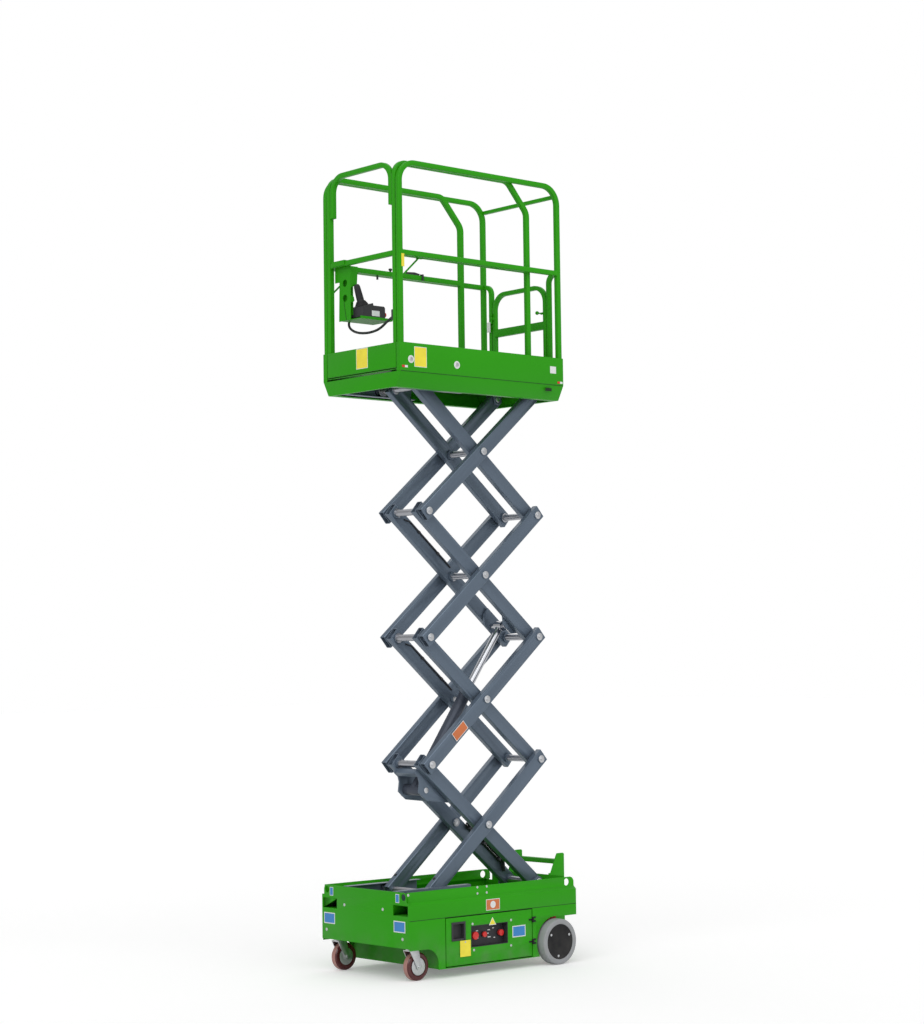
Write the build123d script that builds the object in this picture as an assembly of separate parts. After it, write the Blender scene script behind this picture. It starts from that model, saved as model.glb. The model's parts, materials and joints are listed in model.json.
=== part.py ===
from build123d import *
import os
from math import cos, radians, sin, tan

# Self-propelled electric scissor lift, drawn with its platform part raised.
# Millimetres. +X points to the caster end (the end that the platform slides
# out over), +Y to the machine's left side, +Z up. The origin lies on the
# ground, at the middle of the machine's length and width.

# ---------------------------------------------------------------- chassis
FRONT_X = 660.0            # outer face of the front plate
BODY_REAR_X = -564.0       # rear end of the sheet-metal body
LADDER_REAR_X = -660.0     # rearmost edge of the entry ladder
BODY_HALF_WIDTH = 370.0    # outer face of the side skins
SHEET = 4.0                # body sheet thickness
TRAY_TOP_Z = 469.0
TRAY_FLOOR_Z = 321.0       # underside of the tray, top of the skirts
RIM_INSET = 18.0           # how far the upper band sits inside the lower one
BAND_Z = 402.0             # where the lower band starts to slope in
RIM_Z = 418.0              # where the slope ends
FRONT_PLATE_BOTTOM_Z = 176.0
POCKET = {
    "y0": BODY_HALF_WIDTH - 130.0, "y1": BODY_HALF_WIDTH - 8.0,
    "z0": 345.0, "z1": 400.0, "depth": 190.0,
}
TIE_HOLE_R = 18.0          # tie-down holes in the front plate
TIE_HOLE_Y = BODY_HALF_WIDTH - 44.0
TIE_HOLE_Z = 444.0
EAR_HOLE_R = 20.0          # lifting holes in the rear side ears
EAR_HOLE_X = -508.0
EAR_HOLE_Z = 441.0
EAR_CORNER_R = 30.0
REAR_PLATE_X = -536.0
REAR_PLATE_HALF_WIDTH = 300.0

LADDER = {
    "top": 585.0, "low": 116.0, "half_width": 178.0, "sheet": 6.0,
    "tread": 34.0, "rungs": (522.0, 322.0, 150.0),
}

# ----------------------------------------------------------------- skirts
SKIRT_BOTTOM_Z = 51.0
SKIRT_FRONT_X = 456.0      # foot of the front wheel arch
ARCH_TOP_Z = 166.0         # underside of the side skin over the casters
ARCH_START_X = 540.0
HULL_FRONT_X = 444.0
HULL_REAR_X = -300.0
HULL_STEP_X = -256.0       # compartments start here, clear of the drive wheels
COMPARTMENT_Y = BODY_HALF_WIDTH - 130.0  # inner wall of each side compartment
BLOCK_X = (-240.0, 380.0)  # battery and power blocks, front to rear
BATTERY_FRONT_X = 300.0
BLOCK_TOP_Z = 288.0
BLOCK_GAP = 6.0            # block to compartment wall
DOOR_GAP = 6.0
DOOR = {"x0": -222.0, "x1": 402.0, "z0": 61.0, "z1": 315.0}
DOOR_HINGE_OUT = 7.0       # hinge axis outside the skin
HINGE_Z = (139.0, 259.0)
HINGE_R = 6.0
HINGE_LENGTH = 30.0
HINGE_PIN_R = 2.5
DOOR_RIM = 16.0
PANEL = {"x0": -43.0, "x1": 225.0, "z0": 147.0, "z1": 262.0, "depth": 45.0}
INLET = {"x": 315.0, "z": 241.0, "size": 100.0, "depth": 30.0, "lip": 6.5}

# ----------------------------------------------------------------- wheels
DRIVE_X = -397.0
DRIVE_R = 125.0
DRIVE_RIM_R = 96.0
DRIVE_OUTER_Y = BODY_HALF_WIDTH + 43.0
DRIVE_WIDTH = 65.0
DRIVE_AXLE_R = 17.5
MOTOR = {"radius": 52.0, "inner_y": 226.0, "gear_radius": 70.0, "plate_half": 62.0}
WHEEL_ARCH_GAP = 12.0
TYRE_SHOULDER = 8.0
CASTER_X = 597.0           # swivel axis
CASTER_Y = BODY_HALF_WIDTH - 64.0
CASTER_TRAIL = 35.0
CASTER_R = 75.0
CASTER_WIDTH = 42.0
CASTER_HUB_R = 22.0
CASTER_AXLE_R = 8.0
CASTER_SHOULDER = 7.0
FORK_GAP = 4.0             # wheel side to fork cheek
FORK_SHEET = 5.0
FORK_CROWN_Z = 158.0
FORK_RACE_Z = 173.0
CASTER_SHELF_Z = 192.0

# ---------------------------------------------------------------- scissor
PIVOT_X = -482.0           # fixed pivots, on the base and on the platform
BASE_PIN_Z = 432.0
ARM_PITCH = 1067.0         # pin to pin
REST_ANGLE = 40.4
STAGES = 4
ARM_DEPTH = 80.0
ARM_WIDTH = 40.0
ARM_WALL = 4.0
ARM_CORNER_R = 6.0
ARM_TAIL = 36.0            # tube beyond the pin
SHORT_TAIL = 24.0          # the same where the tube turns inside base or deck
INNER_Y = 111.0            # middle of the inner arms
OUTER_Y = 164.0            # middle of the outer arms
PIN_R = 15.0
PIN_FIT = 0.05             # radial running clearance of a pin
SIDE_FIT = 0.3             # side clearance between neighbouring faces
BUSH_R = 23.0
BUSH_PROUD = 4.0
PIN_HEAD_R = 21.0
PIN_HEAD = 7.0
CROSS_R = 18.5             # tubes that tie the left and right inner arms
COLLAR_R = 27.0
COLLAR_LENGTH = 10.0
STUB_STAGES = (0, 1)       # stages whose centres leave room for the cylinder
ROLLER_R = 30.0
ROLLER_Y = 192.0           # inner face of the rollers
ROLLER_WIDTH = 30.0
ROLLER_FIT = 0.4
TRACK_SHEET = 4.0
TRACK_X = (98.0, 622.0)
LUG_SHEET = 11.0
LUG_R = 30.0

# --------------------------------------------------------------- cylinder
LOW_EYE = (123.8, 83.8)    # along and below inner arm 1, from its front pin
HIGH_EYE = (139.6, 33.4)   # along and below inner arm 3, from its rear pin
BARREL_R = 34.0
BARREL_LENGTH = 660.0
EYE_R = 30.0
EYE_PIN_R = 16.0
ROD_R = 20.0
ROD_EYE_R = 28.0
ROD_EYE_WIDTH = 56.0
GLAND_LENGTH = 26.0
BRACKET_SHEET = 11.0
LOW_PLATE = (              # along and below inner arm 1, from its front pin
    (-2, 64), (-6, 38), (60, -4), (300, -4), (290, 40), (160, 126), (90, 126), (60, 80), (36, 64),
)
LOW_TIE = ((2, 31), (32, 31), (32, 63), (2, 63))  # corners of the plates' cross channel
HIGH_PLATE = (             # along and below inner arm 3, from its rear pin
    (60, -30), (225, -30), (225, 20), (180, 62), (102, 62), (60, 20),
)
HIGH_PAD = ((80, -28), (200, -28), (200, 28), (80, 28))
BRACKET_PAD = 5.0          # pad between the upper plates and their arms
SLEEVE_GAP = 1.0

# --------------------------------------------------------------- platform
DECK_X = (-564.0, 646.0)
DECK_HALF_WIDTH = 334.0
PAN_TOP_Z = 3240.0
PAN_BOTTOM_Z = 3158.0
PAN_SLOPE = 44.0           # how far the pan's sides lean in
PAN_LIP = 40.0
PAN_END_LIP = 20.0
DECK_Z = 3254.0            # walking surface of the main deck
DECK_SHEET = 4.0
TOE_TOP_Z = 3396.0
TOE_SHEET = 4.0
RAIL = 28.0                # side of the square rail tube
RAIL_TOP_Z = 4394.0
RAIL_BEND_R = 105.0
MID_RAIL_Z = 3885.0
DECK_RIBS_X = (-504.0, -60.0, 586.0)
REAR_BAR_DROP = 63.0       # rear cross bar below the top of the rail
REAR_BAR = 20.0

# ---------------------------------------------------------- sliding deck
SLIDE_GAP = 5.0            # between the fixed and the sliding rails and decks
EXT_DECK_X = (-356.0, 646.0)
RUNNER = {"y": 240.0, "width": 22.0, "length": 340.0}
EXT_BEND_X = (-195.0, -339.0)
EXT_BEND_DROP = 179.0      # end of the slanted leg below the top of the rail
EXT_BEND_R = 70.0
FRONT_HOOP_LEG = 244.0     # ends of the front hoop below the top of the rail
FRONT_HOOP_BEND_R = 90.0
FRONT_TOE_Z = 3263.0

# ------------------------------------------------------------- rear gate
GATE_POST_INSET = 71.0     # gate post inside the corner post
GATE_POST_BEND_R = 50.0
GATE_GAP = 5.0
GATE_TUBE = 24.0
GATE_TOP_Z = 3838.0
GATE_BEND_R = 90.0
GATE_BAR_Z = 3600.0
GATE_BAR_DEPTH = 45.0
GATE_BOTTOM_Z = 3268.0
GATE_HINGE_OUT = 6.0       # hinge axis inside the gate's inner face
GATE_HINGE_Z = (3330.0, 3690.0)
GATE_HINGE_LENGTH = 60.0

# ------------------------------------------------------- platform control
CONTROL_Y = (-205.0, 45.0)
CONTROL_X = (448.0, 568.0)
CONTROL_Z = 3566.0
CONTROL_HEIGHT = 78.0
JOYSTICK_LEAN = 19.0       # grip leans forward
LATCH_X = 60.0
CABLE_R = 7.0
CABLE_ROUTE = [  # x, y, z from the box's right end round to the left post's socket
    (520.0, -205.0, 3604.0), (520.0, -258.0, 3604.0), (524.0, -262.0, 3540.0),
    (532.0, -200.0, 3492.0), (546.0, -110.0, 3470.0), (562.0, 0.0, 3468.0),
    (584.0, 105.0, 3488.0), (610.0, 190.0, 3546.0), (618.0, 255.0, 3546.0),
]
SOCKET = {"x0": 600.0, "x1": 640.0, "y": 255.0, "z0": 3518.0, "z1": 3578.0}

STAGE_RISE = ARM_PITCH * sin(radians(REST_ANGLE))
STAGE_RUN = ARM_PITCH * cos(radians(REST_ANGLE))
FRONT_PIN_X = PIVOT_X + STAGE_RUN
TOP_PIN_Z = BASE_PIN_Z + STAGES * STAGE_RISE
INNER_FACE = INNER_Y - ARM_WIDTH / 2
GAP_OUTSIDE_INNER = INNER_Y + ARM_WIDTH / 2
OUTER_IN_FACE = OUTER_Y - ARM_WIDTH / 2
OUTER_OUT_FACE = OUTER_Y + ARM_WIDTH / 2

RAIL_Y = DECK_HALF_WIDTH - TOE_SHEET - RAIL / 2
REAR_POST_X = DECK_X[0] + TOE_SHEET + RAIL / 2
FRONT_POST_X = DECK_X[1] - TOE_SHEET - RAIL / 2
RAIL_Z = RAIL_TOP_Z - RAIL / 2
EXT_RAIL_Y = RAIL_Y - RAIL - SLIDE_GAP
GATE_POST_Y = RAIL_Y - GATE_POST_INSET
GATE_UPRIGHT_Y = GATE_POST_Y - GATE_TUBE - GATE_GAP
REAR_BAR_Z = RAIL_TOP_Z - REAR_BAR_DROP
EXT_BEND_Z = RAIL_TOP_Z - EXT_BEND_DROP
FRONT_HOOP_LEG_Z = RAIL_TOP_Z - FRONT_HOOP_LEG


# ---------------------------------------------------------------- helpers
def block(x0, x1, y0, y1, z0, z1):
    """A box between two corners."""
    middle = ((x0 + x1) / 2, (y0 + y1) / 2, (z0 + z1) / 2)
    return Pos(*middle) * Box(x1 - x0, y1 - y0, z1 - z0)


def rod_x(y, z, radius, x0, x1):
    return Pos((x0 + x1) / 2, y, z) * (Rot(0, 90, 0) * Cylinder(radius, x1 - x0))


def rod_y(x, z, radius, y0, y1):
    return Pos(x, (y0 + y1) / 2, z) * (Rot(90, 0, 0) * Cylinder(radius, y1 - y0))


def rod_z(x, y, radius, z0, z1):
    return Pos(x, y, (z0 + z1) / 2) * Cylinder(radius, z1 - z0)


def sheet_y(outline, y0, y1):
    """Extrude a sketch drawn in X and Z from y0 to y1."""
    plane = Plane((0, y1, 0), x_dir=(1, 0, 0), z_dir=(0, -1, 0))
    return extrude(plane * outline, amount=y1 - y0)


def sheet_x(outline, x0, x1):
    """Extrude a sketch drawn in Y and Z from x0 to x1."""
    plane = Plane((x0, 0, 0), x_dir=(0, 1, 0), z_dir=(1, 0, 0))
    return extrude(plane * outline, amount=x1 - x0)


def polygon(*points):
    return make_face(Polyline(*points, close=True))


def flip(shape):
    """The same piece on the machine's other side."""
    return mirror(shape, about=Plane.XZ)


def both_sides(shape):
    return shape + flip(shape)


def weldment(pieces):
    """Touching pieces of one welded assembly, each still a plain solid."""
    return Compound(children=[solid for piece in pieces for solid in piece.solids()])


def bent_tube(points, bend, plane_y=None, plane_x=None, width=RAIL, depth=RAIL):
    """Square tube along straight runs and arcs; bend is one radius or one a corner."""
    if plane_y is not None:
        path = [(a, plane_y, b) for a, b in points]
    else:
        path = [(plane_x, a, b) for a, b in points]
    wire = FilletPolyline(*path, radius=bend) if len(path) > 2 else Polyline(*path)
    start = wire @ 0
    heading = wire % 0
    across = Vector(0, 1, 0) if plane_y is not None else Vector(1, 0, 0)
    section = Plane(start, x_dir=across, z_dir=heading) * Rectangle(width, depth)
    return sweep(section, path=wire)


def level(stage):
    """Height of the joint above a stage, counted from the base pins."""
    return BASE_PIN_Z + stage * STAGE_RISE


# ----------------------------------------------------------- scissor arms
def arm_tube(y, stage, rising, tails, bores):
    """One tube arm. rising: its front end is the higher one."""
    rear_tail, front_tail = tails
    tube = RectangleRounded(ARM_WIDTH, ARM_DEPTH, ARM_CORNER_R)
    core = Rectangle(ARM_WIDTH - 2 * ARM_WALL, ARM_DEPTH - 2 * ARM_WALL)
    x0 = -ARM_PITCH / 2 - rear_tail
    x1 = ARM_PITCH / 2 + front_tail
    body = sheet_x(tube - core, x0, x1)
    for along, bush_in, bush_out in bores:
        body += rod_y(along, 0, BUSH_R, -bush_in, bush_out)
    for along, bush_in, bush_out in bores:
        body -= rod_y(along, 0, PIN_R + PIN_FIT, -bush_in - 1, bush_out + 1)
    tilt = -REST_ANGLE if rising else REST_ANGLE
    middle_x = PIVOT_X + STAGE_RUN / 2
    middle_z = level(stage + 0.5)
    return Pos(middle_x, y, middle_z) * (Rot(0, tilt, 0) * body)


def cross_tube(x, z):
    """Tube with end collars that ties the left and right inner arms."""
    tube = rod_y(x, z, CROSS_R, -INNER_FACE, INNER_FACE)
    tube += rod_y(x, z, COLLAR_R, INNER_FACE - COLLAR_LENGTH, INNER_FACE)
    tube += rod_y(x, z, COLLAR_R, -INNER_FACE, COLLAR_LENGTH - INNER_FACE)
    return tube - rod_y(x, z, PIN_R + PIN_FIT, -INNER_FACE - 1, INNER_FACE + 1)


def on_arm_one(along, below):
    """X and Z of a point measured from inner arm 1's front pin."""
    c, s = cos(radians(REST_ANGLE)), sin(radians(REST_ANGLE))
    return FRONT_PIN_X - along * c + below * s, level(1) - along * s - below * c


def on_arm_three(along, below):
    """X and Z of a point measured from inner arm 3's rear pin."""
    c, s = cos(radians(REST_ANGLE)), sin(radians(REST_ANGLE))
    return PIVOT_X + along * c + below * s, level(2) + along * s - below * c


def low_bracket():
    """Plates and cross channel under inner arm 1 that hold the barrel's pin."""
    eye_x, eye_z = on_arm_one(*LOW_EYE)
    corners = [on_arm_one(along, below) for along, below in LOW_PLATE]
    profile = polygon(*corners) + Pos(eye_x, eye_z) * Circle(EYE_R + 14)
    profile -= Pos(FRONT_PIN_X, level(1)) * Circle(COLLAR_R + 3)
    profile -= Pos(eye_x, eye_z) * Circle(EYE_PIN_R + PIN_FIT)
    inside = INNER_FACE - BRACKET_SHEET
    plate = sheet_y(profile, inside, INNER_FACE)
    channel = polygon(*[on_arm_one(along, below) for along, below in LOW_TIE])
    tie = sheet_y(channel - offset(channel, -5.0, kind=Kind.INTERSECTION), -inside, inside)
    return [plate, flip(plate), tie]


def high_bracket():
    """Plates on inner arm 3 that hold the rod's pin."""
    profile = polygon(*[on_arm_three(along, below) for along, below in HIGH_PLATE])
    outside = INNER_FACE - BRACKET_PAD
    plate = sheet_y(profile, outside - BRACKET_SHEET, outside)
    pad = polygon(*[on_arm_three(along, below) for along, below in HIGH_PAD])
    plate += sheet_y(pad, outside - 1, INNER_FACE)
    return [plate, flip(plate)]


def inner_arms(stage):
    bush_in = ARM_WIDTH / 2
    reach = OUTER_IN_FACE - INNER_Y - SIDE_FIT
    stub = COLLAR_LENGTH + ARM_WIDTH / 2 if stage in STUB_STAGES else bush_in
    rear_tail = SHORT_TAIL if stage == 0 else ARM_TAIL
    front_tail = SHORT_TAIL if stage == STAGES - 1 else ARM_TAIL
    half = ARM_PITCH / 2
    bores = [(-half, bush_in, reach), (0, stub, reach), (half, bush_in, reach)]
    left = arm_tube(INNER_Y, stage, True, (rear_tail, front_tail), bores)
    pieces = [left, flip(left)]
    pieces.append(cross_tube(FRONT_PIN_X, level(stage + 1)))
    pieces.append(cross_tube(PIVOT_X, level(stage)))
    if stage not in STUB_STAGES:
        pieces.append(cross_tube(PIVOT_X + STAGE_RUN / 2, level(stage + 0.5)))
    if stage == 0:
        pieces += low_bracket()
    if stage == 2:
        pieces += high_bracket()
    return weldment(pieces)


def outer_arms(stage):
    bush_in = ARM_WIDTH / 2
    bush_out = ARM_WIDTH / 2 + BUSH_PROUD
    rear_tail = SHORT_TAIL if stage == STAGES - 1 else ARM_TAIL
    front_tail = SHORT_TAIL if stage == 0 else ARM_TAIL
    half = ARM_PITCH / 2
    bores = [(along, bush_in, bush_out) for along in (-half, 0, half)]
    return both_sides(arm_tube(OUTER_Y, stage, False, (rear_tail, front_tail), bores))


def headed_pin(x, z, y_in, y_face, radius=PIN_R, head=PIN_HEAD_R):
    """Pin on the left side from y_in out past y_face, with a head there."""
    seat = y_face + SIDE_FIT
    pin = rod_y(x, z, radius, y_in, seat + PIN_HEAD)
    return pin + rod_y(x, z, head, seat, seat + PIN_HEAD)


def inner_pins(stage):
    """The pins that turn with one pair of inner arms."""
    outer_face = OUTER_OUT_FACE + BUSH_PROUD
    stub_start = INNER_FACE - COLLAR_LENGTH
    middle = (PIVOT_X + STAGE_RUN / 2, level(stage + 0.5))
    start = stub_start if stage in STUB_STAGES else 0.0
    pins = both_sides(headed_pin(*middle, start, outer_face))
    rear_face = OUTER_IN_FACE + LUG_SHEET if stage == 0 else outer_face
    rear_seat = OUTER_IN_FACE if stage == 0 else outer_face
    pins += both_sides(headed_pin(PIVOT_X, level(stage), 0.0, max(rear_face, rear_seat)))
    if stage < STAGES - 1:
        pins += both_sides(headed_pin(FRONT_PIN_X, level(stage + 1), 0.0, outer_face))
    if stage == 0:
        eye_x, eye_z = on_arm_one(*LOW_EYE)
        pins += rod_y(eye_x, eye_z, EYE_PIN_R, -INNER_FACE, INNER_FACE)
    return pins


def roller_shaft(z):
    """Shaft and rollers at the sliding end of the first or last stage."""
    end_y = ROLLER_Y + ROLLER_WIDTH
    shaft = rod_y(FRONT_PIN_X, z, PIN_R, -end_y, end_y)
    roller = rod_y(FRONT_PIN_X, z, ROLLER_R, ROLLER_Y, end_y)
    return shaft + both_sides(roller)


# --------------------------------------------------------------- cylinder
def cylinder_parts():
    low_x, low_z = on_arm_one(*LOW_EYE)
    high_x, high_z = on_arm_three(*HIGH_EYE)
    axis = Vector(high_x - low_x, 0, high_z - low_z)
    length = axis.length
    place = Plane((low_x, 0, low_z), x_dir=(0, 1, 0), z_dir=axis)
    sleeve_half = INNER_FACE - BRACKET_SHEET - SLEEVE_GAP
    across = Rot(0, 90, 0)
    barrel = Pos(0, 0, BARREL_LENGTH / 2) * Cylinder(BARREL_R, BARREL_LENGTH)
    barrel += Pos(0, 0, BARREL_LENGTH - GLAND_LENGTH / 2) * Cylinder(BARREL_R + 3, GLAND_LENGTH)
    barrel += across * Cylinder(EYE_R, 2 * sleeve_half)
    barrel -= across * Cylinder(EYE_PIN_R + PIN_FIT, 2 * sleeve_half + 2)
    bore_start = EYE_R + 25.0
    bore = Cylinder(ROD_R + PIN_FIT, BARREL_LENGTH - bore_start + 2)
    barrel -= Pos(0, 0, (BARREL_LENGTH + bore_start + 2) / 2) * bore
    rod_start = BARREL_LENGTH - 240.0
    rod = Pos(0, 0, (rod_start + length) / 2) * Cylinder(ROD_R, length - rod_start)
    rod += Pos(0, 0, length) * (across * Cylinder(ROD_EYE_R, ROD_EYE_WIDTH))
    pin_half = INNER_FACE - BRACKET_PAD - BRACKET_SHEET - SIDE_FIT
    rod += Pos(0, 0, length) * (across * Cylinder(EYE_PIN_R, 2 * pin_half))
    return place * barrel, place * rod


# ---------------------------------------------------------------- chassis
def side_wall():
    """Left tray wall: a proud lower band, a slope and an inset upper band."""
    out, inset, s = BODY_HALF_WIDTH, RIM_INSET, SHEET
    profile = polygon(
        (out, TRAY_FLOOR_Z), (out, BAND_Z), (out - inset, RIM_Z), (out - inset, TRAY_TOP_Z),
        (out - inset - s, TRAY_TOP_Z), (out - inset - s, RIM_Z - s / 2), (out - s, BAND_Z - s / 2),
        (out - s, TRAY_FLOOR_Z),
    )
    wall = sheet_x(profile, BODY_REAR_X, FRONT_X - SHEET)
    corner = block(BODY_REAR_X - 1, BODY_REAR_X + EAR_CORNER_R, 0, out + 1,
                   TRAY_TOP_Z - EAR_CORNER_R, TRAY_TOP_Z + 1)
    corner -= rod_y(BODY_REAR_X + EAR_CORNER_R, TRAY_TOP_Z - EAR_CORNER_R, EAR_CORNER_R, 0, out + 1)
    wall -= corner
    return wall - rod_y(EAR_HOLE_X, EAR_HOLE_Z, EAR_HOLE_R, 0, out + 1)


def front_plate():
    """Front plate with rounded top corners, fork pockets and tie-down holes."""
    out = BODY_HALF_WIDTH
    face = Pos(0, (FRONT_PLATE_BOTTOM_Z + TRAY_TOP_Z) / 2) * Rectangle(
        2 * out, TRAY_TOP_Z - FRONT_PLATE_BOTTOM_Z
    )
    for side in (-1, 1):
        notch = Pos(side * out, TRAY_TOP_Z) * Rectangle(2 * RIM_INSET, 2 * (TRAY_TOP_Z - RIM_Z))
        face -= notch
    top = face.vertices().sort_by(Axis.Y)[-2:]
    face = fillet(top, 24.0)
    centre_y = (POCKET["y0"] + POCKET["y1"]) / 2
    centre_z = (POCKET["z0"] + POCKET["z1"]) / 2
    mouth = Rectangle(POCKET["y1"] - POCKET["y0"], POCKET["z1"] - POCKET["z0"])
    for side in (-1, 1):
        face -= Pos(side * centre_y, centre_z) * mouth
        face -= Pos(side * TIE_HOLE_Y, TIE_HOLE_Z) * Circle(TIE_HOLE_R)
    return sheet_x(face, FRONT_X - SHEET, FRONT_X)


def fork_pocket():
    """The four walls and the end cap of the left fork pocket."""
    y0, y1, z0, z1 = POCKET["y0"], POCKET["y1"], POCKET["z0"], POCKET["z1"]
    back, mouth, s = FRONT_X - POCKET["depth"], FRONT_X - SHEET, SHEET
    roof = block(back, mouth, y0, y1 - RIM_INSET / 4, z1, z1 + s)
    return [
        block(back, mouth, y0, y1, z0 - s, z0),
        roof,
        block(back, mouth, y0 - s, y0, z0 - s, z1 + s),
        block(back, mouth, y1, y1 + s, z0 - s, BAND_Z - s / 2),
        block(back, back + s, y0, y1, z0, z1),
    ]


def caster_shelf():
    """Shelf over the left caster with its two stays."""
    x0, x1 = ARCH_START_X - 10, FRONT_X - SHEET
    y0, y1 = POCKET["y0"], BODY_HALF_WIDTH - SHEET
    low, top, s = CASTER_SHELF_Z, TRAY_FLOOR_Z, 5.0
    return [
        block(x0, x1, y0, y1, low, low + s),
        block(x0, x0 + s, y0, y1, low + s, top),
        block(x0 + s, x1, y0, y0 + s, low + s, top),
    ]


def chassis_tray():
    """Folded tray: floor, side walls, rear and front plates, pockets, shelves."""
    inner = BODY_HALF_WIDTH - SHEET
    shoulder = EAR_HOLE_Z - EAR_HOLE_R - 10
    slope = (shoulder - BAND_Z + SHEET / 2) / (RIM_Z - BAND_Z)
    floor = block(BODY_REAR_X, FRONT_X - SHEET, -inner, inner, TRAY_FLOOR_Z, TRAY_FLOOR_Z + SHEET)
    outline = [
        (-inner, TRAY_FLOOR_Z + SHEET), (-inner, BAND_Z - SHEET / 2),
        (slope * RIM_INSET - inner, shoulder), (-REAR_PLATE_HALF_WIDTH, shoulder),
        (-REAR_PLATE_HALF_WIDTH, TRAY_TOP_Z),
    ]
    rear = polygon(*outline, *[(-y, z) for y, z in reversed(outline)])
    rear = sheet_x(rear, REAR_PLATE_X - SHEET, REAR_PLATE_X)
    left = [side_wall(), *fork_pocket(), *caster_shelf()]
    right = [flip(piece) for piece in left]
    return weldment([floor, rear, front_plate(), *left, *right])


def lower_hull():
    """Closed centre box under the tray with a compartment on each side."""
    edge = BODY_HALF_WIDTH - SHEET
    step = DRIVE_OUTER_Y - DRIVE_WIDTH - WHEEL_ARCH_GAP
    corner = [(HULL_REAR_X, step), (HULL_STEP_X, step), (HULL_STEP_X, edge), (HULL_FRONT_X, edge)]
    plan = polygon(*corner, *[(x, -y) for x, y in reversed(corner)])
    ring = plan - offset(plan, -SHEET, kind=Kind.INTERSECTION)
    height = TRAY_FLOOR_Z - SKIRT_BOTTOM_Z
    body = extrude(Plane.XY.offset(SKIRT_BOTTOM_Z) * plan, amount=SHEET)
    body += extrude(Plane.XY.offset(SKIRT_BOTTOM_Z) * ring, amount=height)
    for y in (-COMPARTMENT_Y, COMPARTMENT_Y - SHEET):
        body += block(HULL_REAR_X + 1, HULL_FRONT_X - 1, y, y + SHEET, SKIRT_BOTTOM_Z + 1, TRAY_FLOOR_Z)
    opening = block(DOOR["x0"] - DOOR_GAP, DOOR["x1"] + DOOR_GAP, edge - SHEET - 1, edge + 1,
                    SKIRT_BOTTOM_Z + SHEET, TRAY_FLOOR_Z + 1)
    return body - both_sides(opening)


def side_skin():
    """Left skirt skin with both wheel arches and the door opening."""
    low, top = SKIRT_BOTTOM_Z, TRAY_FLOOR_Z
    rise = ARCH_TOP_Z - low
    outline = Polyline((HULL_REAR_X - 18, low), (SKIRT_FRONT_X, low))
    arch = ARCH_START_X - SKIRT_FRONT_X
    outline += Line((SKIRT_FRONT_X, low), (SKIRT_FRONT_X, ARCH_TOP_Z - arch))
    outline += RadiusArc((SKIRT_FRONT_X, ARCH_TOP_Z - arch), (ARCH_START_X, ARCH_TOP_Z), arch)
    outline += Polyline(
        (ARCH_START_X, ARCH_TOP_Z), (FRONT_X - SHEET, ARCH_TOP_Z), (FRONT_X - SHEET, top),
        (BODY_REAR_X, top),
        (BODY_REAR_X, low + rise), (HULL_REAR_X - 18, low + rise), (HULL_REAR_X - 18, low),
    )
    face = make_face(outline)
    face -= Pos(DRIVE_X, DRIVE_R) * Circle(DRIVE_R + WHEEL_ARCH_GAP)
    foot = DRIVE_R + WHEEL_ARCH_GAP
    face -= Pos(DRIVE_X - 100, DRIVE_R + 22) * Rectangle(2 * foot, 2 * foot - 50)
    opening = DOOR_GAP
    face -= Pos((DOOR["x0"] + DOOR["x1"]) / 2, (DOOR["z0"] + DOOR["z1"]) / 2) * Rectangle(
        DOOR["x1"] - DOOR["x0"] + 2 * opening, DOOR["z1"] - DOOR["z0"] + 2 * opening
    )
    return sheet_y(face, BODY_HALF_WIDTH - SHEET, BODY_HALF_WIDTH)


def slide_track(z, floor_z):
    """Left channel for the rollers, hung on a web from floor_z."""
    gap = ROLLER_R + ROLLER_FIT
    web_y = ROLLER_Y + ROLLER_WIDTH + SLIDE_GAP
    x0, x1 = TRACK_X
    track = block(x0, x1, web_y, web_y + TRACK_SHEET, min(floor_z, z - gap), max(floor_z, z + gap))
    for edge in (z - gap - TRACK_SHEET, z + gap):
        track += block(x0, x1, ROLLER_Y - 2, web_y + TRACK_SHEET, edge, edge + TRACK_SHEET)
    return track


def pivot_lug(z, seat_z, y0):
    """Rounded plate between seat_z and the pivot pin at height z."""
    low, high = min(z, seat_z), max(z, seat_z)
    web = Pos(PIVOT_X, (low + high) / 2) * Rectangle(2 * LUG_R, high - low)
    profile = web + Pos(PIVOT_X, z) * Circle(LUG_R) - Pos(PIVOT_X, z) * Circle(PIN_R + PIN_FIT)
    return sheet_y(profile, y0, y0 + LUG_SHEET)


def base_lugs():
    """Lugs on the tray floor outside the inner arms' rear ends."""
    return both_sides(pivot_lug(BASE_PIN_Z, TRAY_FLOOR_Z + SHEET, OUTER_IN_FACE))


def deck_lugs():
    """Lugs under the deck on both sides of the outer arms' rear ends."""
    seat = DECK_Z - DECK_SHEET
    inside = pivot_lug(TOP_PIN_Z, seat, OUTER_IN_FACE - SIDE_FIT - LUG_SHEET)
    outside = pivot_lug(TOP_PIN_Z, seat, OUTER_OUT_FACE + BUSH_PROUD + SIDE_FIT)
    return both_sides(inside + outside)


def deck_pins():
    """Fixed pins that carry the platform on the outer arms' rear ends."""
    inside = OUTER_IN_FACE - SIDE_FIT - LUG_SHEET
    outside = OUTER_OUT_FACE + BUSH_PROUD + SIDE_FIT + LUG_SHEET
    return both_sides(headed_pin(PIVOT_X, TOP_PIN_Z, inside - 2, outside))


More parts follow.
